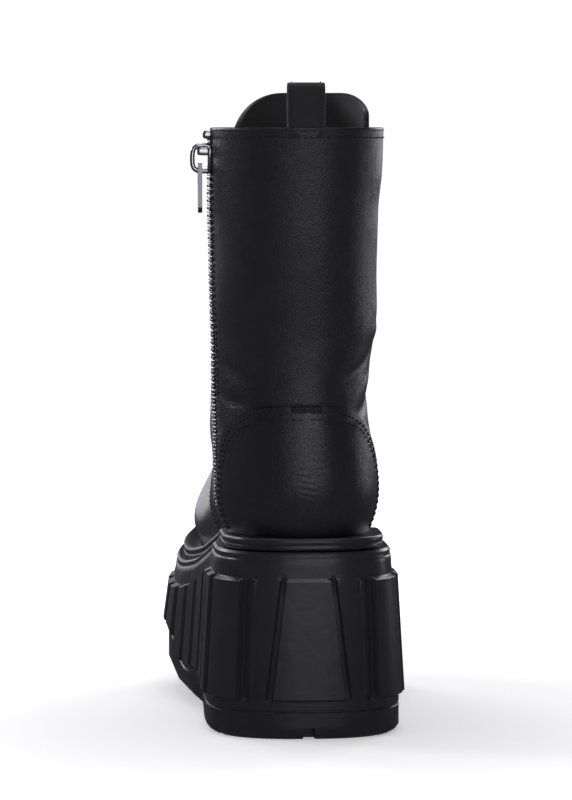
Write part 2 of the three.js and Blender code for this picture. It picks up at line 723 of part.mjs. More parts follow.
function zipSlider() {
  const outside = zipFace() - PLATE_LIFT;
  const inside = zipFace() + WALL + 0.9;
  const [low, high] = [SLIDER_HEIGHT - SLIDER_LENGTH / 2, SLIDER_HEIGHT + SLIDER_LENGTH / 2];
  const front = solid(boxBetween(outside - BRIDGE.plate, outside, ZIP_Y - 4, ZIP_Y + 4, low, high));
  const back = solid(boxBetween(inside, inside + 1.2, ZIP_Y - 4, ZIP_Y + 4, low + 1, high));
  const post = solid(boxBetween(outside - 0.5, inside + 0.5, ZIP_Y - 1.5, ZIP_Y + 1.5, ZIP_TOP + 0.8, high - 0.6));
  const reach = BRIDGE.window + BRIDGE.bar;
  const root = outside - BRIDGE.plate;
  const [foot0, head] = [SLIDER_HEIGHT - BRIDGE.height / 2, SLIDER_HEIGHT + BRIDGE.height / 2];
  const arch = new THREE.Shape();
  arch.moveTo(root + 0.5, foot0);
  arch.lineTo(root - reach + 2, foot0);
  arch.quadraticCurveTo(root - reach, foot0, root - reach, foot0 + 2.5);
  arch.lineTo(root - reach, head - 2.5);
  arch.quadraticCurveTo(root - reach, head, root - reach + 2, head);
  arch.lineTo(root + 0.5, head);
  const bar = BRIDGE.bar;
  arch.holes.push(rectangle(root - BRIDGE.window, foot0 + bar, root, head - bar));
  const bridge = solid(frontPrism(arch, ZIP_Y - BRIDGE.width / 2, ZIP_Y + BRIDGE.width / 2, 3));
  return geometryOf(front.add(post).add(back).add(bridge));
}

const PULL_PLAY = 0.6;
const PULL = { thickness: 2.2, width: 5.6, holeWidth: 3.6, holeLength: 8.6 };

/** Where the pull tab's cross bar sits in the slider's bridge: the hinge line runs through here along Y. */
function pullAxis() {
  const x = zipFace() - PLATE_LIFT - BRIDGE.plate - BRIDGE.window / 2 + 0.2;
  const z = SLIDER_HEIGHT - BRIDGE.height / 2 + BRIDGE.bar + PULL_PLAY + PULL.thickness / 2;
  return { x, z };
}

function zipPull() {
  const { x, z } = pullAxis();
  const half = PULL.width / 2;
  const bar = PULL.thickness / 2;
  const shape = new THREE.Shape();
  shape.moveTo(ZIP_Y - half, z + bar);
  shape.lineTo(ZIP_Y - half, z - PULL_LENGTH + half);
  shape.absarc(ZIP_Y, z - PULL_LENGTH + half, half, Math.PI, 2 * Math.PI, false);
  shape.lineTo(ZIP_Y + half, z + bar);
  const hole = PULL.holeWidth / 2;
  shape.holes.push(rectangle(ZIP_Y - hole, z - bar - PULL.holeLength, ZIP_Y + hole, z - bar));
  return sidePrism(shape, x - bar, x + bar, 6);
}

// ---- Lace ----

/** One straight run of lace over the front, between two heights and two distances from the middle. */
function laceRun(start, end) {
  const steps = 3;
  const points = Array.from({ length: steps + 1 }, (_, i) => {
    const share = i / steps;
    const { point, normal } = frontSpot(mix(start.height, end.height, share), mix(start.x, end.x, share) || 0.01);
    return point.addScaledVector(normal, 2 + LACE_RADIUS);
  });
  const section = new THREE.Shape();
  const sides = 5;
  for (let i = 0; i < sides; i += 1) {
    const angle = 2 * Math.PI * i / sides;
    section.lineTo(LACE_RADIUS * Math.cos(angle), LACE_RADIUS * Math.sin(angle));
  }
  const extrudePath = new THREE.CatmullRomCurve3(points);
  return solid(new THREE.ExtrudeGeometry(section, { steps: 3, extrudePath, bevelEnabled: false }));
}

/** Place of an eyelet's hole on the front: height and distance from the middle. */
function laceHole(pair, sign) {
  const height = eyeletHeight(pair);
  return { height, x: sign * (throatHalf(height) + EYELET_INSET) };
}

/** The visible middle of a run between two holes. */
function laceBetween(from, to) {
  const at = (share) => ({ height: mix(from.height, to.height, share), x: mix(from.x, to.x, share) });
  return laceRun(at(LACE_HIDDEN), at(1 - LACE_HIDDEN));
}

function laceBar() {
  return geometryOf(laceBetween(laceHole(0, -1), laceHole(0, 1)));
}

function laceCrossing(pair) {
  const rising = laceBetween(laceHole(pair, -1), laceHole(pair + 1, 1));
  return geometryOf(rising.add(laceBetween(laceHole(pair, 1), laceHole(pair + 1, -1))));
}

// ---- Assembly ----

const LOOKS = {
  leather: { color: 0x17181b, roughness: 0.42, metalness: 0 },
  lining: { color: 0x1d1d20, roughness: 0.9, metalness: 0 },
  moulded: { color: 0x17181a, roughness: 0.55, metalness: 0 },
  webbing: { color: 0x141416, roughness: 0.85, metalness: 0 },
  metal: { color: 0xb9bcc0, roughness: 0.25, metalness: 1 },
  dark_metal: { color: 0x2a2b2e, roughness: 0.35, metalness: 0.9 },
};

const boot = new THREE.Group();

function add(name, geometry, look) {
  const mesh = new THREE.Mesh(geometry, new THREE.MeshStandardMaterial(LOOKS[look]));
  mesh.name = name;
  boot.add(mesh);
}

add('platform_sole', platformSole(), 'moulded');
add('midsole', midsole(), 'moulded');
add('insole', insole(), 'lining');
add('upper', upper(), 'leather');
add('heel_counter', heelCounter(), 'leather');
add('tongue', tongue(), 'leather');
add('pull_loop', pullLoop(), 'webbing');
add('zip_chain', zipChain(), 'metal');
add('zip_slider', zipSlider(), 'metal');
add('zip_pull', zipPull(), 'metal');
for (const { pair, sign } of eachEyelet) {
  add(`eyelet_${sign > 0 ? 'lateral' : 'medial'}_${pair + 1}`, eyelet(pair, sign), 'dark_metal');
}
add('lace_bar', laceBar(), 'webbing');
for (let pair = 0; pair < EYELET_PAIRS - 1; pair += 1) {
  add(`lace_crossing_${pair + 1}`, laceCrossing(pair), 'webbing');
}

// The origin is the middle of the boot's footprint box, on the floor.
const box = new THREE.Box3().setFromObject(boot);
const middle = box.getCenter(new THREE.Vector3());
boot.position.set(-middle.x, -middle.y, -box.min.z);

export default boot;
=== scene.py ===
"""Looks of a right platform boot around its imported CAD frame.

Shapes are worked out in the boot's own millimetres: y = 0 at the back of the sole's top rim, x = 0 in the
middle of the heel, z up from the floor. place() turns them into the frame's metres.
"""
import math

import bmesh
import bpy
import numpy as np
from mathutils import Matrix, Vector


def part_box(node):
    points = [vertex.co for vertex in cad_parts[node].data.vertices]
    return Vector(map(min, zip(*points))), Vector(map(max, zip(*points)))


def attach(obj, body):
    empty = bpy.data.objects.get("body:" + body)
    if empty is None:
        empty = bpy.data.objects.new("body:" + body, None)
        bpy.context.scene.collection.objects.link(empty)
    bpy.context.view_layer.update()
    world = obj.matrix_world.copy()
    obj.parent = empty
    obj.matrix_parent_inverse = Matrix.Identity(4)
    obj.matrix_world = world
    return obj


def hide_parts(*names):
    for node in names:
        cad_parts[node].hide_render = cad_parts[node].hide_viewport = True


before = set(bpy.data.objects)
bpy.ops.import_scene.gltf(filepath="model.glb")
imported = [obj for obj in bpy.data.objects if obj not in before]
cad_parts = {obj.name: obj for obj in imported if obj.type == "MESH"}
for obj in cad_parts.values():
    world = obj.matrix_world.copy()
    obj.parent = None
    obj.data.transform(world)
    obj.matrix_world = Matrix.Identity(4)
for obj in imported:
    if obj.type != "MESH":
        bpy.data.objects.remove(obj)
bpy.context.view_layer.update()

# ---------------------------------------------------------------- sizes, in millimetres

WALL = 2.4
LEATHER = 1.4
COLLAR = 307.0
TONGUE_TOP = 325.0
LOOP_TOP = 330.0
LOOP_CENTRE = -0.8
LOOP_WIDTH = 19.0
ZIP_Y = 52.0
ZIP_FOOT = 112.0
ZIP_TOP = 293.0
RIM_LENGTH = 276.0
MIDSOLE_HEIGHT = 6.7
SEAT_GAP = 0.6

# The design's origin in the frame, read off two nodes whose places are known.
LOOP_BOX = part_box("pull_loop")
PULL_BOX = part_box("zip_pull")
ORIGIN = Vector((
    (LOOP_BOX[0].x + LOOP_BOX[1].x) / 2 - LOOP_CENTRE / 1000,
    (PULL_BOX[0].y + PULL_BOX[1].y) / 2 - ZIP_Y / 1000,
    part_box("platform_sole")[0].z,
))


def place(points):
    """Design millimetres to frame metres."""
    return np.asarray(points, float) / 1000 + np.array(ORIGIN)


SOLE_SECTIONS = {
    "y": [0, 60, 88, 114, 140, 178, 215, 248, 276],
    "medial": [45, 45, 45, 48, 52, 55.5, 52, 46, 40],
    "lateral": [44.5, 44.5, 43.5, 44, 49.5, 53.5, 53, 49, 43],
    "top": [94, 94, 91, 84.5, 77.5, 73.5, 75.5, 81, 88],
    "bottom": [0, 0, 0, 12, 0, 0, 0, 6, 15],
    "lug_foot": [19.5, 19.5, 20.5, 23.5, 22, 38, 40, 43, 49],
    "bevel_height": [3, 3, 4, 8, 15, 19, 19, 17, 14],
    "bevel_inset": [3.5, 3.5, 4, 7, 10, 12, 12, 11, 9],
}
LAST_BEND = {"y": [0, 60, 112, 160, 215, 276], "x": [0, 0.4, 2, 0.5, -4, -10]}
FOOT_WIDTHS = {
    "y": [0, 60, 100, 140, 178, 215, 268],
    "medial": [42.8, 43.6, 42.2, 45, 49, 46, 40],
    "lateral": [38.5, 38.3, 36.5, 42.5, 47, 47, 42],
}
LEG_WIDTHS = {
    "z": [140, 160, 180, 195, 206, 240, 265, 285, 307],
    "medial": [44.4, 45, 45.5, 45.8, 46, 46.4, 46.6, 46.6, 46.4],
    "lateral": [35.2, 34.1, 34.5, 37.2, 39.4, 38.8, 39.4, 41.4, 42],
}
SHOULDERS = {"y": [0, 112, 130, 150, 178, 215, 276], "lean": [0, 0, 0.04, 0.13, 0.26, 0.29, 0.29]}
BACK_LINE = {"z": [100, 112, 125, 145, 170, 195, 235, 307], "y": [12.5, 8.5, 7, 9, 13, 13, 9.5, 5]}
RINGS = {
    "rise": [0, 0.08, 0.16, 0.24, 0.32, 0.4, 0.48, 0.56, 0.64, 0.72, 0.8, 0.9, 1],
    "back": [0, 109, 118, 128, 138, 149, 161, 175, 192, 213, 238, 272, 307],
    "reach": [261, 266.5, 266, 257, 238, 213, 188, 164, 144, 129, 120, 115.5, 114],
    "front": [0, 100, 112, 123.5, 132.5, 142, 155, 172.5, 193, 216, 241, 273, 307],
    "round": [66, 64, 62, 62, 64, 68, 72, 70, 64, 58, 56, 56, 56],
}


# ---------------------------------------------------------------- curves


def unit(vectors):
    return vectors / np.linalg.norm(vectors, axis=-1, keepdims=True)


def lengths_along(points):
    """Distance travelled along a path at each of its points."""
    return np.concatenate([[0], np.cumsum(np.linalg.norm(np.diff(points, axis=0), axis=1))])


def read_path(values, lengths, at):
    """A path's values at some distances along it."""
    return np.stack([np.interp(at, lengths, column) for column in values.T], -1)


def kept_runs(keep, shortest):
    """Indices of each unbroken run where keep holds, if it is longer than the shortest."""
    groups = np.split(np.arange(len(keep)), np.flatnonzero(np.diff(keep.astype(int))) + 1)
    return [group for group in groups if keep[group[0]] and len(group) > shortest]


def smooth_column(table, key, column):
    """A function that reads a table's column anywhere, by a cubic that never overshoots its rows."""
    at = np.array(table[key], float)
    value = np.array(table[column], float)
    step = np.diff(at)
    rate = np.diff(value) / step
    slope = np.empty_like(value)
    slope[0], slope[-1] = rate[0], rate[-1]
    for i in range(1, len(at) - 1):
        if rate[i - 1] * rate[i] <= 0:
            slope[i] = 0
            continue
        before = 2 * step[i] + step[i - 1]
        after = step[i] + 2 * step[i - 1]
        slope[i] = (before + after) / (before / rate[i - 1] + after / rate[i])

    def read(position):
        p = np.clip(position, at[0], at[-1])
        i = np.clip(np.searchsorted(at, p, side="right") - 1, 0, len(at) - 2)
        t = (p - at[i]) / step[i]
        rest = 1 - t
        ends = value[i] * rest * rest * (1 + 2 * t) + value[i + 1] * t * t * (3 - 2 * t)
        return ends + step[i] * t * rest * (slope[i] * rest - slope[i + 1] * t)

    return read


def mix(a, b, t):
    return a + (b - a) * t


def smoothstep(x, low, high):
    t = np.clip((x - low) / (high - low), 0, 1)
    return t * t * (3 - 2 * t)


def round_end(t, power):
    left = 1 - np.clip(t, 0, 1)
    return (1 - left ** power) ** (1 / power)


sole = {name: smooth_column(SOLE_SECTIONS, "y", name) for name in SOLE_SECTIONS if name != "y"}
last_bend = smooth_column(LAST_BEND, "y", "x")
foot = {side: smooth_column(FOOT_WIDTHS, "y", side) for side in ("medial", "lateral")}
leg = {side: smooth_column(LEG_WIDTHS, "z", side) for side in ("medial", "lateral")}
back_line = smooth_column(BACK_LINE, "z", "y")
shoulder_lean = smooth_column(SHOULDERS, "y", "lean")


def feather_height(y):
    return sole["top"](y) + MIDSOLE_HEIGHT + SEAT_GAP


RINGS["back"][0] = float(feather_height(0))
RINGS["front"][0] = float(feather_height(RINGS["reach"][0]))
ring = {name: smooth_column(RINGS, "rise", name) for name in RINGS if name != "rise"}


def upper_point(rise, turn):
    """The upper's outer face: rise is 0 at the feather edge and 1 at the collar, turn 0 at the heel."""
    rise, turn = np.broadcast_arrays(np.asarray(rise, float), np.asarray(turn, float) % 1)
    level = np.clip(rise, 0, 1)
    reach = ring["reach"](level)
    back_z = ring["back"](level)
    back_y = back_line(back_z)
    share = (1 - np.cos(2 * np.pi * turn)) / 2
    y = mix(back_y, reach, share)
    bow = feather_height(y) - mix(feather_height(back_y), feather_height(reach), share)
    z = mix(back_z, ring["front"](level), share) + bow * (1 - smoothstep(level, 0, 0.45))
    leg_part = smoothstep(z, 122, 168)
    height = z - feather_height(y)
    shoulder = 1 - shoulder_lean(y) * smoothstep(height, 4, 49)
    lateral = mix(foot["lateral"](y) * shoulder, leg["lateral"](z), leg_part)
    medial = mix(foot["medial"](y) * shoulder, leg["medial"](z), leg_part)
    half = np.where(turn < 0.5, lateral, -medial)
    low = np.maximum(0, 1 - height / 22)
    ends = round_end((y - back_y) / 50, 2.2) * round_end((reach - y) / ring["round"](level), 2.1)
    x = last_bend(y) + half * (1 - 0.12 * low * low) * ends
    return np.stack([x, y, z + (rise - level) * 100], -1)


def upper_normal(rise, turn):
    reach = 1e-3
    rise = np.asarray(rise, float)
    around = upper_point(rise, turn + reach) - upper_point(rise, turn - reach)
    up = upper_point(rise + reach, turn) - upper_point(np.maximum(rise - reach, 0), turn)
    return unit(np.cross(around, up))


# ---------------------------------------------------------------- creases

# Soft folds of the leather: the side, the two ends in side view (y, z), depth and width. A ridge's depth is
# negative.
CREASES = [
    ("lateral", (58, 199), (18, 178), 1.5, 6.0),
    ("lateral", (64, 188), (24, 168), -0.9, 6.5),
    ("lateral", (70, 176), (20, 158), 1.1, 5.5),
    ("lateral", (100, 196), (62, 182), 1.2, 6.0),
    ("lateral", (108, 178), (70, 166), 0.9, 6.0),
    ("lateral", (92, 214), (40, 206), 0.6, 8.0),
    ("medial", (98, 196), (60, 184), 0.9, 6.5),
    ("medial", (44, 190), (14, 176), 0.6, 6.5),
    ("medial", (106, 176), (62, 166), 1.0, 6.0),
    ("medial", (48, 172), (16, 166), 0.5, 5.0),
    ("lateral", (190, 128), (152, 106), 0.8, 5.0),
    ("lateral", (172, 142), (140, 118), 0.7, 5.5),
    ("medial", (192, 126), (158, 106), 0.8, 5.0),
    ("medial", (174, 140), (142, 118), 0.6, 5.5),
]


def crease_depth(points):
    """How far the leather is pushed in at each point of its outer face."""
    x, y, z = points[..., 0], points[..., 1], points[..., 2]
    depth = np.zeros_like(x)
    for side, start, end, deep, width in CREASES:
        a, b = np.array(start, float), np.array(end, float)
        along = b - a
        t = ((y - a[0]) * along[0] + (z - a[1]) * along[1]) / (along @ along)
        off_y = y - a[0] - np.clip(t, 0, 1) * along[0]
        off_z = z - a[1] - np.clip(t, 0, 1) * along[1]
        fade = np.exp(-(off_y ** 2 + off_z ** 2) / (width * 0.6) ** 2)
        taper = 0.35 + 0.65 * np.sin(np.pi * np.clip(t, 0, 1))
        on_side = smoothstep(x if side == "lateral" else -x, 4, 16)
        depth += deep * fade * taper * on_side
    ripples = np.sin(z * 1.9 + np.sin(x / 3.5) * 1.6 + np.sin(z / 5.0)) * np.cos(x / 4.0 + z / 13)
    heel = smoothstep(z, 163, 152) * smoothstep(z, 116, 130)
    heel *= np.exp(-((x - 1) / 6.0) ** 2) * smoothstep(y, 40, 10)
    slack = smoothstep(z, 150, 190) * smoothstep(z, 300, 230)
    waves = np.sin(z / 11.0 + y / 19.0 + x / 37.0) * np.cos(y / 15.0 - z / 41.0)
    return depth + 0.14 * ripples * heel + 0.35 * waves * slack


def skin_point(rise, turn, offset=0.0):
    """Point at an offset from the creased leather."""
    base = upper_point(rise, turn)
    return base + upper_normal(rise, turn) * (offset - crease_depth(base))[..., None]


def locate(targets, axes, side):
    """rise and turn of the points that have the given values along two axes, on one side of the upper."""
    targets = np.asarray(targets, float)
    low, high = {"lateral": (0.004, 0.496), "medial": (0.504, 0.996), "front": (0.3, 0.7)}[side]
    rise, turn = np.meshgrid(np.linspace(0.0, 1, 90), np.linspace(low, high, 90), indexing="ij")
    seeds = upper_point(rise, turn)[..., axes].reshape(-1, 2)
    nearest = ((targets[:, None, :] - seeds[None]) ** 2).sum(-1).argmin(1)
    r, t = rise.ravel()[nearest].copy(), turn.ravel()[nearest].copy()
    small = 1e-4
    for _ in range(12):
        here = upper_point(r, t)[..., axes]
        dr = upper_point(np.minimum(r + small, 1), t)[..., axes] - upper_point(r - small, t)[..., axes]
        dr /= (np.minimum(r + small, 1) - np.maximum(r - small, 0))[:, None]
        dt = (upper_point(r, t + small)[..., axes] - upper_point(r, t - small)[..., axes]) / (2 * small)
        miss = targets - here
        det = dr[:, 0] * dt[:, 1] - dr[:, 1] * dt[:, 0]
        det = np.where(np.abs(det) < 1e-6, 1e-6, det)
        r = np.clip(r + 0.8 * (miss[:, 0] * dt[:, 1] - miss[:, 1] * dt[:, 0]) / det, 0, 1)
        t = np.clip(t + 0.8 * (dr[:, 0] * miss[:, 1] - dr[:, 1] * miss[:, 0]) / det, low, high)
    return r, t


# ---------------------------------------------------------------- materials


def preset(node, values):
    """Sets a node's inputs by name."""
    for name, value in values.items():
        node.inputs[name].default_value = value


def material(name, color, roughness, bump=(), metallic=0.0, color_noise=0.0, rough_noise=0.0, coat=0.0,
             sheen=0.0):
    """Procedural material. bump is a list of layers: (kind, size in metres, height in metres)."""
    mat = bpy.data.materials.new(name)
    mat.use_nodes = True
    links = mat.node_tree.links
    shader = mat.node_tree.nodes["Principled BSDF"]

    def new_node(kind, values=None, **settings):
        node = mat.node_tree.nodes.new("ShaderNode" + kind)
        for setting, value in settings.items():
            setattr(node, setting, value)
        preset(node, values or {})
        return node

    def noise(size):
        node = new_node("TexNoise", {"Scale": 1 / size, "Detail": 4.0})
        links.new(spot, node.inputs["Vector"])
        return node.outputs["Fac"]

    def ramp(source, low, high):
        node = new_node("MapRange", {"To Min": low, "To Max": high})
        links.new(source, node.inputs["Value"])
        return node.outputs["Result"]

    def grain(size):
        cell = new_node("TexVoronoi", {"Scale": 1 / size}, feature="DISTANCE_TO_EDGE")
        links.new(spot, cell.inputs["Vector"])
        return ramp(cell.outputs["Distance"], 0, 3)

    def weave(size):
        product = new_node("Math", operation="MULTIPLY")
        for slot, direction in enumerate(("X", "Z")):
            values = {"Scale": 0.314 / size, "Distortion": 0.4}
            wave = new_node("TexWave", values, bands_direction=direction)
            links.new(spot, wave.inputs["Vector"])
            links.new(wave.outputs["Fac"], product.inputs[slot])
        return product.outputs[0]

    preset(shader, {"Metallic": metallic, "Sheen Weight": sheen})
    preset(shader, {"Coat Weight": coat, "Coat Roughness": 0.28})
    spot = new_node("TexCoord").outputs["Object"]
    rough = ramp(noise(0.021), roughness - rough_noise, roughness + rough_noise)
    links.new(rough, shader.inputs["Roughness"])
    darker = (*[c * (1 - color_noise) for c in color], 1)
    lighter = (*[c * (1 + color_noise) for c in color], 1)
    tint = new_node("Mix", data_type="RGBA")
    tint.inputs["A"].default_value = darker
    tint.inputs["B"].default_value = lighter
    links.new(noise(0.013), tint.inputs["Factor"])
    links.new(tint.outputs["Result"], shader.inputs["Base Color"])

    pattern = {"noise": noise, "grain": grain, "weave": weave}
    normal = None
    for kind, size, height in bump:
        layer = new_node("Bump", {"Distance": height, "Strength": 1.0})
        links.new(pattern[kind](size), layer.inputs["Height"])
        if normal is not None:
            links.new(normal, layer.inputs["Normal"])
        normal = layer.outputs["Normal"]
    if normal is not None:
        links.new(normal, shader.inputs["Normal"])
    return mat


BLACK = (0.0115, 0.0108, 0.0155)
LOOKS = {
    "leather": material("leather_black", BLACK, 0.36, [
        ("noise", 0.014, 0.0004), ("grain", 0.0012, 0.00008), ("noise", 0.0006, 0.00002),
    ], color_noise=0.25, rough_noise=0.07, coat=0.12),
    "smooth": material("leather_smooth", BLACK, 0.30, [
        ("noise", 0.012, 0.0003), ("grain", 0.0011, 0.00006),
    ], color_noise=0.2, rough_noise=0.05, coat=0.15),
    "toe": material("leather_toe", BLACK, 0.25, [
        ("noise", 0.012, 0.0003), ("grain", 0.0011, 0.00004),
    ], color_noise=0.2, rough_noise=0.04, coat=0.35),
    "sole": material("sole_moulded", (0.0165, 0.0155, 0.021), 0.31, [
        ("noise", 0.012, 0.0002), ("noise", 0.0007, 0.00003),
    ], color_noise=0.2, rough_noise=0.07),
    "tread": material("tread_rubber", (0.013, 0.0132, 0.015), 0.6, [("noise", 0.002, 0.0001)],
                      color_noise=0.3, rough_noise=0.08),
    "lining": material("lining_textile", (0.042, 0.042, 0.043), 0.65, [("weave", 0.0008, 0.00008)],
                       color_noise=0.15, sheen=0.2),
    "webbing": material("webbing_black", (0.0095, 0.0095, 0.0115), 0.7, [("weave", 0.0009, 0.00012)],
                        color_noise=0.3, sheen=0.15),
    "thread": material("thread_black", (0.012, 0.012, 0.0145), 0.5, [("noise", 0.0004, 0.0001)]),
    "tape": material("zip_tape", (0.012, 0.012, 0.014), 0.8, [("weave", 0.0008, 0.00015)]),
    "steel": material("zip_steel", (0.2, 0.205, 0.22), 0.24, [("noise", 0.002, 0.00003)], metallic=1.0),
    "silver": material("zip_silver", (0.5, 0.51, 0.54), 0.16, [("noise", 0.0015, 0.00003)],
                       metallic=1.0, color_noise=0.08, rough_noise=0.07),
    "gunmetal": material("eyelet_gunmetal", (0.06, 0.06, 0.066), 0.3, [("noise", 0.001, 0.00002)],
                         metallic=1.0, color_noise=0.2, rough_noise=0.08),
}

# ---------------------------------------------------------------- mesh helpers


def new_piece(name, vertices, faces, look, slot, body="boot", replaces=(), sharp=40):
    """A mesh object made from design millimetres, riding on a body."""
    mesh = bpy.data.meshes.new(name)
    mesh.from_pydata(place(vertices).tolist(), [], [tuple(int(i) for i in face) for face in faces])
    mesh.validate()
    mesh.materials.append(LOOKS[look])
    obj = bpy.data.objects.new(name, mesh)
    bpy.context.scene.collection.objects.link(obj)
    mesh.shade_smooth()
    mesh.set_sharp_from_angle(angle=math.radians(sharp))
    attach(obj, body)
    if replaces:
        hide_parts(*replaces)
    return obj


def grid_faces(rows, columns, closed=False):
    """Quads of a grid whose points run row by row."""
    across = columns if closed else columns - 1
    row, column = np.meshgrid(np.arange(rows - 1), np.arange(across), indexing="ij")
    after = (column + 1) % columns
    a = row * columns + column
    b = row * columns + after
    return np.stack([a, b, b + columns, a + columns], -1).reshape(-1, 4)


def ring_body(rings, looped=False, inside_out=False):
    """Vertices and faces of a body made of closed rings, with flat ends or looped onto its first ring."""
    rows, columns = np.shape(rings)[:2]
    faces = [list(face) for face in grid_faces(rows, columns, closed=True)]
    last = (rows - 1) * columns
    if looped:
        faces += [[last + i, last + (i + 1) % columns, (i + 1) % columns, i] for i in range(columns)]
    else:
        faces += [list(range(columns))[::-1], list(range(last, last + columns))]
    if inside_out:
        faces = [face[::-1] for face in faces]
    return np.reshape(rings, (-1, 3)), faces


def round_edges(obj, width, segments, angle):
    bevel = obj.modifiers.new("round_edges", "BEVEL")
    bevel.width = width / 1000
    bevel.segments = segments
    bevel.limit_method = "ANGLE"
    bevel.angle_limit = math.radians(angle)
    return bevel


def add_thickness(obj, thickness, round_width=0.35):
    """Gives a sheet its thickness, inwards, and rounds its cut edges."""
    solid = obj.modifiers.new("thickness", "SOLIDIFY")
    solid.thickness = thickness / 1000
    solid.offset = -1
    solid.use_even_offset = True
    if round_width:
        round_edges(obj, round_width, 2, 55)
    return obj


def trimmed(points, keep, closed):
    """Vertices and quads of a grid where keep > 0, with its edge moved onto keep = 0."""
    rows, columns = keep.shape
    kept = keep > 0
    moved = points.copy()
    done = kept.copy()
    neighbours = [(0, 1), (0, -1), (1, 0), (-1, 0), (1, 1), (1, -1), (-1, 1), (-1, -1)]
    for dr, dc in neighbours:
        near_points = np.roll(points, (-dr, -dc), (0, 1))
        near_keep = np.roll(keep, (-dr, -dc), (0, 1))
        valid = near_keep > 0
        if dr:
            valid[-1 if dr > 0 else 0] = False
        if dc and not closed:
            valid[:, -1 if dc > 0 else 0] = False
        pick = valid & ~done
        t = (near_keep / (near_keep - keep + 1e-12))[..., None]
        moved[pick] = (near_points + (points - near_points) * t)[pick]
        done |= pick
    faces = grid_faces(rows, columns, closed)
    faces = faces[kept.ravel()[faces].any(1)]
    used, inverse = np.unique(faces, return_inverse=True)
    return moved.reshape(-1, 3)[used], inverse.reshape(faces.shape)


def merge_close(obj, distance=0.02):
    """Joins points that trimming brought together."""
    bm = bmesh.new()
    bm.from_mesh(obj.data)
    bmesh.ops.remove_doubles(bm, verts=bm.verts, dist=distance / 1000)
    bmesh.ops.dissolve_degenerate(bm, edges=bm.edges, dist=distance / 2000)
    bm.to_mesh(obj.data)
    bm.free()


def skin_patch(name, offset, thickness, keep, look, slot, rows, columns, rise=(0.0, 1.0),
               turn=(0.0, 1.0), **more):
    """Sheet at an offset from the creased leather, where keep(points) > 0."""
    closed = turn == (0.0, 1.0)
    steps = np.linspace(turn[0], turn[1], columns, endpoint=not closed)
    rises, turns = np.meshgrid(np.linspace(*rise, rows), steps, indexing="ij")
    base = upper_point(rises, turns)
    points = skin_point(rises, turns, offset)
    vertices, faces = trimmed(points, keep(base), closed)
    obj = new_piece(name, vertices, faces, look, slot, **more)
    merge_close(obj)
    return add_thickness(obj, thickness)


def tube(points, radius, sides=8, flat=1.0, up=(0, 0, 1.0)):
    """Vertices and faces of a tube along points. flat squeezes it along up."""
    points = np.asarray(points, float)
    tangent = unit(np.gradient(points, axis=0))
    across = unit(np.cross(tangent, np.broadcast_to(up, points.shape)))
    rise = np.cross(across, tangent)
    angle = np.arange(sides)[:, None] * 2 * np.pi / sides
    circle = np.cos(angle) * across[:, None] + flat * np.sin(angle) * rise[:, None]
    return ring_body(points[:, None] + circle * radius)


def joined(parts):
    """One list of vertices and faces from several."""
    vertices, faces, start = [], [], 0
    for part_vertices, part_faces in parts:
        vertices.append(np.asarray(part_vertices, float))
        faces += [[i + start for i in face] for face in part_faces]
        start += len(part_vertices)
    return np.concatenate(vertices), faces


# Rings of one stitch: place along it, share of its radius, and lift off the leather.
STITCH_RINGS = [
    (-0.5, 0.15, -0.35), (-0.36, 0.85, -0.05), (0, 1, 0.12), (0.36, 0.85, -0.05), (0.5, 0.15, -0.35),
]
STITCH_SIDES = 6


def stitch_row(path, normals, pitch=3.1, length=2.5, radius=0.42):
    """Short raised stitches along a path on a surface."""
    lengths = lengths_along(path)
    count = max(2, int(lengths[-1] / pitch))
    at = (np.arange(count) + 0.5) / count * lengths[-1]
    centre = read_path(path, lengths, at)
    normal = unit(read_path(normals, lengths, at))
    ahead = read_path(path, lengths, np.minimum(at + 0.4, lengths[-1]))
    behind = read_path(path, lengths, np.maximum(at - 0.4, 0))
    tangent = unit(ahead - behind)
    across = np.cross(tangent, normal)
    angle = np.arange(STITCH_SIDES)[:, None] * 2 * np.pi / STITCH_SIDES
    spread = np.cos(angle) * across[:, None] + np.sin(angle) * normal[:, None]
    rings = []
    for shift, size, lift in STITCH_RINGS:
        hub = centre + tangent * shift * length + normal * lift
        rings.append(hub[:, None] + spread * radius * size)
    return joined([ring_body(stitch) for stitch in np.stack(rings, 1)])


def on_skin(targets, axes, side, offset):
    """Points and normals on the creased leather that have given values along two axes."""
    rise, turn = locate(targets, axes, side)
    return skin_point(rise, turn, offset), upper_normal(rise, turn)


SIDE_VIEW = [1, 2]
FRONT_VIEW = [0, 2]


def polyline(points, steps=60):
    """Smooth curve through a few given points, at even steps."""
    points = np.asarray(points, float)
    at = np.linspace(0, 1, len(points))
    t = np.linspace(0, 1, steps)
    return np.stack([smooth_column({"t": at, "v": values}, "t", "v")(t) for values in points.T], -1)


# ---------------------------------------------------------------- openings and panels of the upper

THROAT_CENTRE = 2.0
THROAT_FOOT = 150.0
THROAT_FOOT_HALF = 13.0
THROAT_TOP_HALF = 16.0
ZIP_HALF = 3.3


def throat_half(z):
    return mix(THROAT_FOOT_HALF, THROAT_TOP_HALF, (z - THROAT_FOOT) / (COLLAR - THROAT_FOOT))


def outside_throat(p, margin=0.0):
    x, y, z = p[..., 0] - THROAT_CENTRE, p[..., 1], p[..., 2]
    start = THROAT_FOOT + THROAT_FOOT_HALF
    d = np.hypot(x, np.minimum(0, z - start)) - throat_half(np.maximum(z, start)) - margin
    return np.where(y < 90, 60.0, d)


def outside_zip(p, margin=0.0):
    x, y, z = p[..., 0], p[..., 1], p[..., 2]
    d = np.hypot(y - ZIP_Y, np.minimum(0, z - ZIP_FOOT - ZIP_HALF)) - ZIP_HALF - margin
    return np.where(x > 0, 60.0, d)


SEAM_LINE = {"z": [80, 92, 104, 118, 132, 143, 152], "y": [112, 120, 131, 148, 170, 190, 214]}
seam_y = smooth_column(SEAM_LINE, "z", "y")


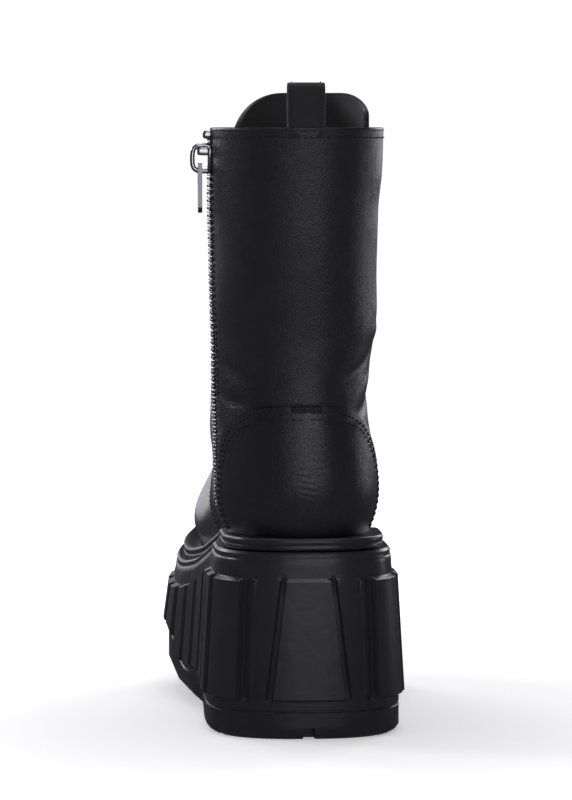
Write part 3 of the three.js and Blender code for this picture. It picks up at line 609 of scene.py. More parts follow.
def behind_seam(p):
    """Positive behind the seam between vamp and quarters, in side view."""
    return (seam_y(p[..., 2]) - p[..., 1]) * 0.7


# The heel counter's outline in side view is a quarter of a rounded box about this corner.
COUNTER_FRONT = 46.5
COUNTER_TOP = 167.0
COUNTER_CORNER = (4, 103)
COUNTER_POWER = 2.6


def counter_size(inset):
    return COUNTER_FRONT - inset - COUNTER_CORNER[0], COUNTER_TOP - inset - COUNTER_CORNER[1]


def inside_counter(p):
    """Positive inside the heel counter's outline."""
    width, height = counter_size(0)
    across = np.clip((p[..., 1] - COUNTER_CORNER[0]) / width, 0, None)
    up = np.clip((p[..., 2] - COUNTER_CORNER[1]) / height, 0, None)
    return (1 - (across ** COUNTER_POWER + up ** COUNTER_POWER) ** (1 / COUNTER_POWER)) * width


def counter_edge(inset, steps=240):
    """The counter's edge in side view, from its front foot on one side up to the middle of the back."""
    width, height = counter_size(inset)
    angle = np.linspace(0, np.pi / 2, steps)
    y = COUNTER_CORNER[0] + width * np.cos(angle) ** (2 / COUNTER_POWER)
    z = COUNTER_CORNER[1] + height * np.sin(angle) ** (2 / COUNTER_POWER)
    return np.stack([y, z], -1)


def build_upper():
    def quarters(p):
        return np.minimum(np.minimum(outside_throat(p), outside_zip(p)), behind_seam(p))

    def vamp(p):
        return np.minimum(outside_throat(p, 0.3), 7 - behind_seam(p))

    def lining(p):
        return np.minimum(outside_throat(p, 0.6), outside_zip(p, 0.5))

    skin_patch("quarters", 0.0, LEATHER, quarters, "leather", "leather", 250, 330, replaces=["upper"])
    skin_patch("vamp", -1.0, LEATHER - 0.2, vamp, "toe", "leather", 120, 260, rise=(0.0, 0.52),
               turn=(0.22, 0.78))
    skin_patch("shaft_lining", -LEATHER - 0.05, WALL - LEATHER - 0.05, lining, "lining", "lining", 90, 120,
               rise=(0.0, 0.996))


def build_binding():
    """Folded leather edge along the collar, open at the throat and at the zip."""
    turns = np.linspace(-0.47, 0.47, 700)
    base = upper_point(np.ones_like(turns), turns)
    keep = np.minimum(outside_throat(base, 0.4), outside_zip(base, 0.4)) > 0
    path = skin_point(np.full_like(turns, 0.9975), turns, -1.0)
    parts = [tube(path[group], 1.28, sides=12, flat=0.8) for group in kept_runs(keep, 8)]
    new_piece("collar_binding", *joined(parts), "smooth", "leather")


def build_counter():
    skin_patch("counter_overlay", 1.6, 1.3, inside_counter, "smooth", "leather", 130, 260,
               rise=(0.0, 0.56), turn=(-0.2, 0.2), replaces=["heel_counter"])


# ---------------------------------------------------------------- tongue


TONGUE_CORNERS = {"lateral": 12.0, "medial": 27.0}
TONGUE_THICKNESS = 2.9
TONGUE_DEPTH = 3.15


def inside_tongue(p):
    """Positive inside the tongue's outline in front view."""
    x, z = p[..., 0] - THROAT_CENTRE, p[..., 2]
    half = np.interp(z, [143, 210, 290, 330], [20, 30, 34, 34])
    sides = half - np.abs(x)
    top = TONGUE_TOP - z
    corner = np.where(x > 0, TONGUE_CORNERS["lateral"], TONGUE_CORNERS["medial"])
    out = np.hypot(np.maximum(corner - sides, 0), np.maximum(corner - top, 0))
    rounded = corner - out
    d = np.where((sides < corner) & (top < corner), rounded, np.minimum(sides, top))
    d = np.minimum(d, z - 141)
    return np.where(p[..., 1] < 76, -5.0, d)


def build_tongue():
    rises, turns = np.meshgrid(np.linspace(0.38, 1.2, 210), np.linspace(0.27, 0.73, 190), indexing="ij")
    base = upper_point(rises, turns)
    normal = upper_normal(np.clip(rises, 0, 0.9999), turns)
    keep = inside_tongue(base + normal * -4.5)
    points = base - normal * TONGUE_DEPTH
    vertices, faces = trimmed(points, keep, False)
    obj = new_piece("tongue_leather", vertices, faces, "leather", "leather", replaces=["tongue"])
    merge_close(obj)
    obj.data.materials.append(LOOKS["lining"])
    add_thickness(obj, TONGUE_THICKNESS, 0.9)
    obj.modifiers["thickness"].material_offset = 1


# ---------------------------------------------------------------- sole

# The heel's back from its middle: distance to the side at the top and at the foot, and relief.
HEEL_BACK = [
    (0, 0, 1.9), (10.6, 16.8, 1.9), (11.2, 17.5, -1.0), (13.2, 19.7, -1.0), (13.9, 20.5, 0.5),
    (24.6, 24.9, 0.3), (25.3, 25.5, 1.2), (26.7, 26.9, 1.2), (27.6, 27.6, -1.6), (29.6, 29.6, -1.6),
    (30.5, 30.5, 0.2),
]
LUG_PROUD = 3.0
LUG_EDGE = 0.9
CORNER_LUG = (33.0, 55.0)
SIDE_LUG_COUNT = 12
SIDE_LUG_WIDTH = 16.0
SIDE_LUG_START = 61.5
END_FLARE = 0.5


def rim_half(side, y):
    return sole[side](y) * round_end(y / 46, 2.6) * round_end((RIM_LENGTH - y) / 78, 2.25)


def rim_point(travel):
    travel = np.asarray(travel, float)
    y = RIM_LENGTH * (1 - np.cos(np.pi * travel)) / 2
    half = np.where(travel < 0, rim_half("medial", y), rim_half("lateral", y))
    return np.stack([last_bend(y) + np.sign(travel) * half, y], -1)


def rim_normal(travel):
    reach = 1e-4
    ahead = np.where(travel + reach > 1, travel + reach - 2, travel + reach)
    behind = np.where(travel - reach < -1, travel - reach + 2, travel - reach)
    tangent = unit(rim_point(ahead) - rim_point(behind))
    return np.stack([tangent[..., 1], -tangent[..., 0]], -1)


def travel_at_back(distance):
    share = np.asarray(distance, float) / 44.5
    y = 46 * (1 - (1 - share ** 2.6) ** (1 / 2.6))
    return np.arccos(1 - 2 * y / RIM_LENGTH) / np.pi


WALK_TRAVEL = np.linspace(0, 1, 1201)
WALK_LENGTH = lengths_along(rim_point(WALK_TRAVEL))


def lug_spans():
    total = WALK_LENGTH[-1]
    pitch = (total - SIDE_LUG_START - SIDE_LUG_WIDTH / 2) / SIDE_LUG_COUNT
    starts = [SIDE_LUG_START + i * pitch for i in range(SIDE_LUG_COUNT)]
    spans = [(start, start + SIDE_LUG_WIDTH) for start in starts]
    return [CORNER_LUG, *spans, (total - SIDE_LUG_WIDTH / 2, total)]


def wall_stations():
    """Rows (travel at the top, travel at the foot, relief) of the sole's wall on one side, heel to toe."""
    rows = [(travel_at_back(top), travel_at_back(foot_x), relief) for top, foot_x, relief in HEEL_BACK]
    total = WALK_LENGTH[-1]
    for start, end in lug_spans():
        marks = [(start, 0), (start + LUG_EDGE, LUG_PROUD), (end - LUG_EDGE, LUG_PROUD), (end, 0)]
        if end >= total:
            marks = [(start, 0), (start + LUG_EDGE, LUG_PROUD), (total, LUG_PROUD)]
        for length, relief in marks:
            travel = np.interp(length, WALK_LENGTH, WALK_TRAVEL)
            rows.append((travel, travel, relief))
    return np.array(rows)


RIM_BAND = 3.6
LUG_TOP_DROP = 13.0
UNDER_RIM = 0.5
FLARE = 4.1
LEDGE_DROP = 5.5


def wall_levels(y):
    """Heights, offsets and shares of relief of the wall's levels, floor to rim, at stations y."""
    top, bottom, lug_foot = sole["top"](y), sole["bottom"](y), sole["lug_foot"](y)
    bevel_height, bevel_inset = sole["bevel_height"](y), sole["bevel_inset"](y)
    lug_top = top - LUG_TOP_DROP

    def flare(z):
        return UNDER_RIM + FLARE * (top - RIM_BAND - z) / (top - RIM_BAND - lug_foot)

    foot_offset = flare(lug_foot)
    ledge = lug_foot - np.minimum(LEDGE_DROP, (lug_foot - bottom - bevel_height) / 2)
    levels = [
        (bottom, foot_offset - bevel_inset, 0),
        (bottom + bevel_height * 0.4, foot_offset - bevel_inset * 0.4, 0),
        (bottom + bevel_height, foot_offset, 0),
        (ledge - 0.8, foot_offset, 0),
        (ledge - 0.3, foot_offset - 0.8, 0),
        (ledge + 0.3, foot_offset - 0.8, 0),
        (ledge + 0.8, foot_offset, 0),
        (lug_foot - 0.8, foot_offset, 0),
        (lug_foot + 0.6, foot_offset, 1),
        (lug_top - 1.6, flare(lug_top - 1.6), 1),
        (lug_top, flare(lug_top), 0),
        (top - RIM_BAND - 0.8, UNDER_RIM, 0),
        (top - RIM_BAND, 0, 0),
        (top - 1.2, 0, 0),
        (top, -1.2, 0),
    ]
    return [np.stack([np.broadcast_to(value, top.shape) for value in column]) for column in zip(*levels)]


def refine(values, splits):
    """Fractional positions between rows: an integer and so many steps in each interval."""
    marks = [np.linspace(i, i + 1, n, endpoint=False) for i, n in enumerate(splits)]
    return np.concatenate([*marks, [float(len(values) - 1)]])


def between(rows, at, eased):
    """Rows read at fractional positions, straight or eased from one to the next."""
    i = np.clip(np.floor(at).astype(int), 0, len(rows) - 2)
    t = at - i
    t = smoothstep(t, 0, 1) if eased else t
    return rows[i] * (1 - t) + rows[i + 1] * t


LEVEL_SPLITS = [3, 3, 3, 2, 1, 2, 2, 3, 8, 3, 4, 3, 3, 3]
LUG_LEVELS = (7, 10)


def sole_wall(sign, column_at, level_at, stations):
    """Points of the wall on one side: levels by columns."""
    travel_top = between(stations[:, 0], column_at, False)
    travel_foot = between(stations[:, 1], column_at, False)
    relief = between(stations[:, 2], column_at, True)
    heights = wall_levels(np.zeros(1))[0][:, 0]
    rise = np.interp(level_at, np.arange(len(heights)), heights)
    low, high = (heights[level] for level in LUG_LEVELS)
    share = np.clip((rise - low) / (high - low), 0, 1)
    travel = mix(travel_foot[None, :], travel_top[None, :], share[:, None])
    rim = rim_point(sign * travel)
    normal = rim_normal(sign * travel)
    z, offset, level_relief = wall_levels(rim[..., 1])
    low = np.clip(np.floor(level_at).astype(int), 0, len(LEVEL_SPLITS) - 1)
    t = (level_at - low)[:, None]
    ease = smoothstep(t, 0, 1)
    row = np.arange(len(level_at))

    def pick(table, weight):
        return table[low, row] * (1 - weight) + table[low + 1, row] * weight

    # table axes are (level, row, column)
    height = pick(z, t)
    out = pick(offset, t)
    proud = pick(level_relief, ease) * relief[None, :]
    x = rim[..., 0] + normal[..., 0] * (out + proud)
    y = rim[..., 1] + normal[..., 1] * (out * END_FLARE + proud)
    return np.stack([x, y, height], -1)


GROOVES_ACROSS = [22, 42, 62, 158, 176, 194, 212, 230, 247]
GROOVE_WIDTH = 5.0
GROOVE_DEPTH = 4.5
CUTTER_DROP = 8.0
HEEL_NOTCH = ((-3, -20, -CUTTER_DROP), (3, 6, 5.5))
SOLE_SHARP = 34
FINE_GAP = 1.2
COLUMN_WIDTH = 2.2


def column_splits(gap):
    """Columns between two stations of the wall: a relief's edge has three, and a flat stretch an even few."""
    return 3 if gap < FINE_GAP else max(2, int(gap / COLUMN_WIDTH))


def sole_cap(start, columns):
    """Faces that close a ring of the sole, from its heel to its toe."""
    half = columns // 2
    faces = [[start, start + 1, start + columns - 1]]
    for i in range(1, half - 1):
        faces.append([start + i, start + i + 1, start + columns - i - 1, start + columns - i])
    return [*faces, [start + half - 1, start + half, start + half + 1]]


def build_sole():
    stations = wall_stations()
    gaps = np.diff(np.interp(stations[:, 0], WALK_TRAVEL, WALK_LENGTH))
    column_at = refine(stations, [column_splits(gap) for gap in gaps])
    level_at = refine(range(len(LEVEL_SPLITS) + 1), LEVEL_SPLITS)
    lateral = sole_wall(1, column_at, level_at, stations)
    medial = sole_wall(-1, column_at, level_at, stations)
    wall = np.concatenate([lateral, medial[:, 1:-1][:, ::-1]], 1)
    rows, columns = wall.shape[:2]
    faces = [list(face) for face in grid_faces(rows, columns, closed=True)]
    faces += [face[::-1] for face in sole_cap(0, columns)]
    faces += sole_cap((rows - 1) * columns, columns)
    obj = new_piece("sole_unit", wall.reshape(-1, 3), faces, "sole", "sole", replaces=["platform_sole"],
                    sharp=SOLE_SHARP)
    cut_tread(obj)
    obj.data.shade_smooth()
    obj.data.set_sharp_from_angle(angle=math.radians(SOLE_SHARP))
    for polygon in obj.data.polygons:
        polygon.material_index = 1 if polygon.normal.z < -0.9 else 0


def cut_tread(obj):
    """Cuts the grooves across the sole and the notch under the heel, and gives the tread its own look."""
    boxes = []
    for y in GROOVES_ACROSS:
        floor = float(sole["bottom"](y))
        low = (-80, y - GROOVE_WIDTH / 2, floor - CUTTER_DROP)
        boxes.append(box_part(low, (80, y + GROOVE_WIDTH / 2, floor + GROOVE_DEPTH)))
    grooves = new_piece("groove_cutter", *joined(boxes), "tread", "sole")
    notch = new_piece("heel_cutter", *box_part(*HEEL_NOTCH), "tread", "sole")
    for tool in (grooves, notch):
        difference = obj.modifiers.new(tool.name, "BOOLEAN")
        difference.operation = "DIFFERENCE"
        difference.object = tool
        difference.solver = "EXACT"
    obj.data.materials.append(LOOKS["tread"])
    apply_modifiers(obj)
    for tool in (grooves, notch):
        bpy.data.objects.remove(tool)


def apply_modifiers(obj):
    """Replaces the object's mesh by its mesh with modifiers."""
    bpy.context.view_layer.update()
    evaluated = obj.evaluated_get(bpy.context.evaluated_depsgraph_get())
    mesh = bpy.data.meshes.new_from_object(evaluated)
    obj.modifiers.clear()
    obj.data = mesh


def box_part(low, high):
    corners = [(x, y, z) for z in (low[2], high[2]) for y in (low[1], high[1]) for x in (low[0], high[0])]
    faces = [[0, 2, 3, 1], [4, 5, 7, 6], [0, 1, 5, 4], [2, 6, 7, 3], [0, 4, 6, 2], [1, 3, 7, 5]]
    return np.array(corners, float), faces


def rim_band(profile, columns=360):
    """Rings that follow the sole's rim: profile rows are (inset, height above the sole's top)."""
    travel = np.concatenate([np.linspace(0, 1, columns // 2, endpoint=False),
                             np.linspace(-1, 0, columns // 2, endpoint=False)])
    rim, normal = rim_point(travel), rim_normal(travel)
    rings = []
    for inset, height in profile:
        spot = rim - normal * inset
        rings.append(np.column_stack([spot, sole["top"](spot[:, 1]) + height]))
    return np.stack(rings)


WELT_PROFILE = [
    (26, 0.4), (5.2, 0.35), (4.2, 0.4), (3.7, 0.8), (3.6, 1.5), (3.6, 2.6), (3.9, 3.0), (3.9, 3.3),
    (3.6, 3.7), (3.6, 5.2), (3.8, 6.0), (4.3, 6.5), (5.2, 6.75), (8.5, 6.8), (26, 6.8),
]


def build_midsole():
    body = ring_body(rim_band(WELT_PROFILE), looped=True)
    new_piece("welt_band", *body, "sole", "sole", replaces=["midsole"], sharp=50)


FOOTBED_GAP = 0.9
FOOTBED_UNDER = 0.4
FOOTBED_TOP = 3.1
FOOTBED_DISH = 0.5
# The footbed's side from its foot to its top: how far in, and height above the feather edge.
FOOTBED_SIDE = [(0.5, FOOTBED_UNDER), (0.0, 0.6), (0.0, 2.3), (0.7, 2.9), (2.2, FOOTBED_TOP)]


def build_insole():
    turns = np.linspace(0, 1, 240, endpoint=False)
    edge = upper_point(0.0, turns)
    outward = unit(upper_normal(0.0, turns) * [1, 1, 0])[:, :2]
    centre = np.column_stack([last_bend(edge[:, 1]), edge[:, 1]])

    def ring_at(spot, height):
        return np.column_stack([spot, feather_height(spot[:, 1]) + height])

    sides = []
    for inset, height in FOOTBED_SIDE:
        sides.append(ring_at(edge[:, :2] - outward * (WALL + FOOTBED_GAP + inset), height))
    rim = sides[-1][:, :2]
    under = [ring_at(mix(centre, rim, share), FOOTBED_UNDER) for share in (0.02, 0.5)]
    over = []
    for share in (0.75, 0.5, 0.25, 0.02):
        over.append(ring_at(mix(centre, rim, share), FOOTBED_TOP - FOOTBED_DISH * (1 - share)))
    body = ring_body(np.stack(under + sides + over))
    new_piece("footbed", *body, "lining", "lining", replaces=["insole"])


# ---------------------------------------------------------------- stitching


def build_stitches():
    """All raised thread, as one joined piece for each kind of seam."""
    sides = ("lateral", "medial")
    rows = []
    for side in sides:
        for inset in (3.2, 6.6):
            rows.append(on_skin(counter_edge(inset), SIDE_VIEW, side, 1.75))
    stitched("counter_stitches", rows)

    turns = np.linspace(-0.395, 0.44, 400)
    rises = np.full_like(turns, 0.986)
    path = skin_point(rises, turns, 0.1)
    normals = upper_normal(rises, turns)
    groups = kept_runs(outside_zip(path, 2.2) > 0, 4)
    stitched("collar_stitches", [(path[group], normals[group]) for group in groups])

    rows = []
    for y, foot_z in ((ZIP_Y - ZIP_HALF - 2.4, 170), (ZIP_Y + ZIP_HALF + 2.4, ZIP_FOOT + 2)):
        rows.append(zip_line(np.linspace(foot_z, COLLAR - 3, 160), 0.1, y))
    stitched("zip_stitches", rows)

    rows = []
    heights = np.linspace(THROAT_FOOT + 12, COLLAR - 3, 170)
    for sign in (1, -1):
        for inset in (2.4, 13.0):
            x = THROAT_CENTRE + sign * (throat_half(heights) + inset)
            rows.append(on_skin(np.column_stack([x, heights]), FRONT_VIEW, "front", 0.1))
    stitched("eyestay_stitches", rows)

    rows = []
    heights = np.linspace(95, 149, 90)
    for side in sides:
        for back in (2.6, 5.4, 12.0):
            target = np.column_stack([seam_y(heights) - back, heights])
            rows.append(on_skin(target, SIDE_VIEW, side, 0.1))
    stitched("vamp_stitches", rows)


def stitched(name, rows):
    """One piece of thread from several rows of (path, normals)."""
    new_piece(name, *joined([stitch_row(*row) for row in rows]), "thread", "leather")


def build_bartack():
    """Dense bar of thread across the top of the counter at the back."""
    near_back = np.linspace(-0.12, 0.12, 200)
    x = np.linspace(-7.8, 7.4, 40)
    parts = []
    for row in range(4):
        level = float(np.interp(164.2 + row * 1.15, RINGS["back"], RINGS["rise"]))
        turns = np.interp(x, upper_point(level, near_back)[:, 0], near_back)
        rises = np.full_like(x, level)
        parts.append(stitch_row(skin_point(rises, turns, 1.8), upper_normal(rises, turns), 1.5, 1.6, 0.5))
    new_piece("heel_bartack", *joined(parts), "thread", "leather")


# ---------------------------------------------------------------- zip


TOOTH_PITCH = 1.9
TOOTH_HEIGHT = 2.2
TOOTH_WIDTH = 1.15
TOOTH_SECTION = [
    (-0.5, -0.55), (0.5, -0.55), (0.62, -0.2), (0.62, 0.2), (0.5, 0.55), (-0.5, 0.55), (-0.62, 0.2),
    (-0.62, -0.2),
]
# Sections of one tooth: reach across the zip, and shares of its height and width.
TOOTH_RINGS = [(-0.75, 0.75, 0.75), (-0.6, 0.95, 1), (1.5, 0.95, 1), (2.25, 0.9, 0.9), (2.3, 0.6, 0.6)]
TAPE_HALF = 4.6
TAPE_ROWS = 120
TAPE_COLUMNS = 15


def zip_line(z, offset=0.0, y=ZIP_Y):
    """Points and outward normals at heights on the medial side, at the zip's middle or beside it."""
    z = np.atleast_1d(np.asarray(z, float))
    return on_skin(np.column_stack([np.full_like(z, y), z]), SIDE_VIEW, "medial", offset)


def build_zip():
    heights = np.arange(ZIP_FOOT + 2, ZIP_TOP - 6, TOOTH_PITCH)
    points, normals = zip_line(heights)
    up = unit(np.gradient(points, axis=0))
    across = np.cross(up, normals)
    proud = 0.3 + 0.5 * smoothstep(heights, 205, 250)
    parts = []
    for i, (centre, normal, rise, side, lift) in enumerate(zip(points, normals, up, across, proud)):
        hand = 1 if i % 2 else -1
        rings = []
        for reach, tall, wide in TOOTH_RINGS:
            hub = centre + side * hand * reach + normal * lift
            out, along = normal * TOOTH_HEIGHT * tall, rise * TOOTH_WIDTH * wide
            rings.append([hub + out * a + along * b for a, b in TOOTH_SECTION])
        parts.append(ring_body(rings, inside_out=hand < 0))
    new_piece("zip_teeth", *joined(parts), "silver", "zip_metal", replaces=["zip_chain"])

    centre, normals = zip_line(np.linspace(ZIP_FOOT - 3, COLLAR - 0.5, TAPE_ROWS), -1.1)
    across = unit(np.cross(np.gradient(centre, axis=0), normals))
    spread = np.linspace(-TAPE_HALF, TAPE_HALF, TAPE_COLUMNS)
    sheet = centre[:, None] + across[:, None] * spread[None, :, None]
    sheet -= normals[:, None] * (0.5 * (np.abs(spread) < 0.4))[None, :, None]
    faces = grid_faces(TAPE_ROWS, TAPE_COLUMNS)[:, ::-1]
    obj = new_piece("zip_tape", sheet.reshape(-1, 3), faces, "tape", "webbing")
    add_thickness(obj, 0.7, 0)


def rounded_block(centre, half, sharpness=0.4, rows=13, columns=24):
    """Block with soft edges: a ball whose directions are squared off. Sides run along x, y and z."""
    angles = np.linspace(0, np.pi, rows), np.arange(columns) * 2 * np.pi / columns
    polar, around = np.meshgrid(*angles, indexing="ij")

    def squared(value):
        return np.sign(value) * np.abs(value) ** sharpness

    size = squared(np.sin(polar))
    x, y, z = size * squared(np.cos(around)), size * squared(np.sin(around)), squared(np.cos(polar))
    ball = np.stack([x, y, z], -1)
    vertices = np.asarray(centre) + ball * np.asarray(half)
    faces = [list(face)[::-1] for face in grid_faces(rows - 2, columns, closed=True)]
    body = vertices[1:-1].reshape(-1, 3)
    ends = np.array([vertices[0, 0], vertices[-1, 0]])
    last = (rows - 3) * columns
    top, bottom = len(body), len(body) + 1
    faces += [[top, i, (i + 1) % columns] for i in range(columns)]
    faces += [[bottom, last + (i + 1) % columns, last + i] for i in range(columns)]
    return np.concatenate([body, ends]), faces


# The slider's bridge in side view: distance out from the front plate's back, and height from its middle.
BRIDGE_LINE = [
    (-0.6, 6.4), (-3.0, 7.0), (-6.4, 6.8), (-8.9, 4.8), (-9.4, 1.2), (-9.3, -2.2), (-8.3, -4.8),
    (-6.2, -5.9), (-3.4, -6.1), (-0.4, -6.0),
]
BRIDGE_DEPTH = 10.2
BRIDGE_RADIUS = 1.25


def build_slider():
    """Slider body with a teardrop bridge, top stops, and the pull tab with its CAD shape softened."""
    low, high = ((np.array(corner) - np.array(ORIGIN)) * 1000 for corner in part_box("zip_slider"))
    middle = (low[2] + high[2]) / 2
    face = low[0] + BRIDGE_DEPTH
    plate, plate_faces = rounded_block((face - 0.6, ZIP_Y, middle), (1.15, 4.1, 7.4))
    plate[:, 1] = ZIP_Y + (plate[:, 1] - ZIP_Y) * (1 + 0.02 * (plate[:, 2] - middle))
    parts = [
        (plate, plate_faces),
        rounded_block((face + 3.6, ZIP_Y, middle), (0.7, 3.6, 6.6)),
        rounded_block((face + 1.2, ZIP_Y, high[2] - 2.4), (2.6, 1.3, 1.9)),
    ]
    line = polyline([(face + x, ZIP_Y, middle + z) for x, z in BRIDGE_LINE], 48)
    parts.append(tube(line, BRIDGE_RADIUS, sides=16, up=(0, 1.0, 0)))
    parts.append(rounded_block((face - 3.4, ZIP_Y, middle + 4.2), (3.6, 1.5, 2.3)))
    new_piece("zip_slider_body", *joined(parts), "silver", "zip_metal", replaces=["zip_slider"], sharp=60)

    stops = []
    point, normal = zip_line(COLLAR - 3.4, 0.6)
    for side in (-1, 1):
        spot = point[0] + normal[0] * 1.3 + np.array([0, side * 1.9, 0])
        stops.append(rounded_block(spot, (2.4, 1.5, 2.2), 0.5))
    for height in (296.6, 299.2, 301.0):
        point, normal = zip_line(height, 0.9)
        stops.append(rounded_block(point[0], (1.3, 2.6, 0.65), 0.5, 9, 16))
    new_piece("zip_stops", *joined(stops), "silver", "zip_metal", sharp=60)

    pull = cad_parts["zip_pull"]
    pull.data.materials.clear()
    pull.data.materials.append(LOOKS["steel"])
    bevel = round_edges(pull, 0.8, 4, 40)
    bevel.harden_normals = True


# ---------------------------------------------------------------- pull loop


LOOP_BEND = 3.1
LOOP_FRONT = 6.2
LOOP_HALF_THICKNESS = 0.8
# The strap's two legs in side view (y, z), from its front end up, and from the bend down to its back end.
LOOP_FRONT_LEG = [(LOOP_FRONT, 302), (LOOP_FRONT, 308), (LOOP_FRONT - 0.1, 315), (LOOP_FRONT, 321)]
LOOP_BACK_LEG = [(12.5, 320), (12.4, 311), (11.9, 304), (11.2, 297), (11.3, 290), (11.4, 284)]


def build_loop():
    """Strap folded over into a loop, with two rows of stitches."""
    centre = np.array([LOOP_FRONT + LOOP_BEND, LOOP_TOP - 0.8 - LOOP_BEND])
    angles = np.linspace(0.1, math.pi - 0.1, 12)
    bend = centre + LOOP_BEND * np.stack([-np.cos(angles), np.sin(angles)], -1)
    path = np.concatenate([LOOP_FRONT_LEG, bend, LOOP_BACK_LEG])
    lengths = lengths_along(path)
    line = read_path(path, lengths, np.linspace(0, lengths[-1], 110))
    for _ in range(3):
        line[1:-1] = (line[:-2] + 2 * line[1:-1] + line[2:]) / 4
    tangent = unit(np.gradient(line, axis=0))
    normal = np.stack([-tangent[:, 1], tangent[:, 0]], -1)
    half, thick = LOOP_WIDTH / 2, LOOP_HALF_THICKNESS
    across = np.linspace(-1, 1, 15)
    front = [(half * u * 0.985, thick * (1 - 0.25 * abs(u) ** 8)) for u in across]
    outline = [*front, (half, 0.0), *[(side, -out) for side, out in front[::-1]], (-half, 0.0)]
    rings = [[(LOOP_CENTRE + side, *(spot + out * away)) for side, away in outline]
             for spot, out in zip(line, normal)]
    new_piece("loop_strap", *ring_body(rings), "webbing", "webbing", replaces=["pull_loop"])
    rows = []
    for sign in (-1, 1):
        x = np.full(len(line), LOOP_CENTRE + sign * (half - 2.2))
        edge = np.column_stack([x, line + normal * (thick + 0.05)])
        out = np.column_stack([np.zeros(len(line)), normal])
        rows.append(stitch_row(edge[:62], out[:62], 2.6, 2.0, 0.34))
    new_piece("loop_stitches", *joined(rows), "thread", "webbing")


# ---------------------------------------------------------------- eyelets and lace

EYELET_PAIRS = 7
FIRST_EYELET = 160.0
EYELET_SPACING = 22.5
EYELET_INSET = 7.5


def eyelet_height(pair):
    return FIRST_EYELET + pair * EYELET_SPACING


def front_spot(height, x):
    """Point and normal on the ring whose front is at a height, at a distance from the throat's middle."""
    rise = float(np.interp(height, ring["front"](np.linspace(0.2, 1, 4000)), np.linspace(0.2, 1, 4000)))
    low, high = (0.25, 0.5) if x > 0 else (0.5, 0.75)
    turns = np.linspace(low, high, 2000)
    reach = upper_point(rise, turns)[:, 0] - THROAT_CENTRE
    turn = turns[np.abs(reach - x).argmin()]
    return upper_point(rise, turn), upper_normal(rise, turn)


# The eyelet's ring: radius and height off the leather, round the section.
EYELET_PROFILE = [
    (2.05, -1.5), (2.05, 0.4), (2.15, 0.9), (2.5, 1.25), (3.1, 1.35), (3.8, 1.1), (4.25, 0.6),
    (4.35, 0.15), (4.2, -0.05), (3.0, -0.1), (2.6, -1.5),
]


def turned(profile, centre, axis, sides=32):
    """Lathe ring: profile rows are (radius, height) along axis, closed."""
    axis = unit(axis)
    across = unit(np.cross(axis, [0.3, 0.2, 1.0]))
    other = np.cross(axis, across)
    angle = np.arange(sides)[:, None] * 2 * np.pi / sides
    circle = np.cos(angle) * across + np.sin(angle) * other
    rings = [centre + circle * radius + axis * height for radius, height in profile]
    return ring_body(rings, looped=True, inside_out=True)


def build_eyelets():
    for pair in range(EYELET_PAIRS):
        for sign, side in ((1, "lateral"), (-1, "medial")):
            height = eyelet_height(pair)
            point, normal = front_spot(height, sign * (throat_half(height) + EYELET_INSET))
            ring = turned(EYELET_PROFILE, point + normal * 0.2, normal)
            new_piece(f"eyelet_ring_{side}_{pair + 1}", *ring, "gunmetal", "eyelet_metal",
                      replaces=[f"eyelet_{side}_{pair + 1}"])


LACE_RADIUS = 2.1
LACE_SIDES = 14
LACE_STEPS = 64
# Share of the way from eyelet to eyelet, and the lace's lift off the leather there.
CROSSING_LIFTS = [
    (0.0, -3.2), (0.012, 0.0), (0.06, 1.9), (0.17, 1.7), (0.3, 0.6), (0.5, -0.3), (0.7, -0.6),
    (0.8, -1.4), (0.9, -2.4), (1.0, -3.2),
]
BAR_LIFTS = [
    (0.0, -3.0), (0.02, 0.2), (0.1, 1.8), (0.25, 1.3), (0.75, 1.3), (0.9, 1.8), (0.98, 0.2), (1.0, -3.0),
]


def lace_run(start, end, lifts):
    """Path and normals of one run between two eyelets, each given as (height, distance from the middle)."""
    points, outs = [], []
    for share, lift in lifts:
        point, normal = front_spot(mix(start[0], end[0], share), mix(start[1], end[1], share) or 0.01)
        points.append(point + normal * lift)
        outs.append(normal)
    return polyline(points, LACE_STEPS), polyline(outs, LACE_STEPS)


def braided(path, out):
    """Flat-oval braided lace along a path."""
    vertices, faces = tube(path, LACE_RADIUS, sides=LACE_SIDES, flat=0.62, up=out)
    rows = np.arange(len(vertices)) // LACE_SIDES
    around = np.arange(len(vertices)) % LACE_SIDES
    wave = 0.06 * np.sin(rows * 1.9 + around * np.pi * 2 / 7 * 2)
    centre = np.repeat(path, LACE_SIDES, 0)
    return centre + (vertices - centre) * (1 + wave)[:, None], faces


def build_lace():
    """Crossings from pair to pair, each with its upper run humped over the lower one, and the bottom bar."""
    holes = []
    for pair in range(EYELET_PAIRS):
        height = eyelet_height(pair)
        holes.append((height, throat_half(height) + EYELET_INSET))
    hump = 0.9 * np.exp(-((np.linspace(0, 1, LACE_STEPS) - 0.5) / 0.12) ** 2)[:, None]
    runs = []
    for (low_z, low_x), (high_z, high_x) in zip(holes, holes[1:]):
        for sign in (1, -1):
            path, out = lace_run((low_z, sign * low_x), (high_z, -sign * high_x), CROSSING_LIFTS)
            runs.append(braided(path + out * hump if sign > 0 else path, out))
    height, reach = holes[0]
    runs.append(braided(*lace_run((height, -reach), (height, reach), BAR_LIFTS)))
    nodes = ["lace_bar"] + [f"lace_crossing_{n}" for n in range(1, EYELET_PAIRS)]
    new_piece("lace_cord", *joined(runs), "webbing", "webbing", replaces=nodes, sharp=80)


# ---------------------------------------------------------------- camera, floor and light


def aimed(name, data, location, target):
    """Puts a camera or a light in the scene, looking at a target, in metres."""
    obj = bpy.data.objects.new(name, data)
    bpy.context.scene.collection.objects.link(obj)
    obj.location = location
    obj.rotation_mode = "QUATERNION"
    obj.rotation_quaternion = (Vector(target) - Vector(location)).to_track_quat("-Z", "Y")
    return obj


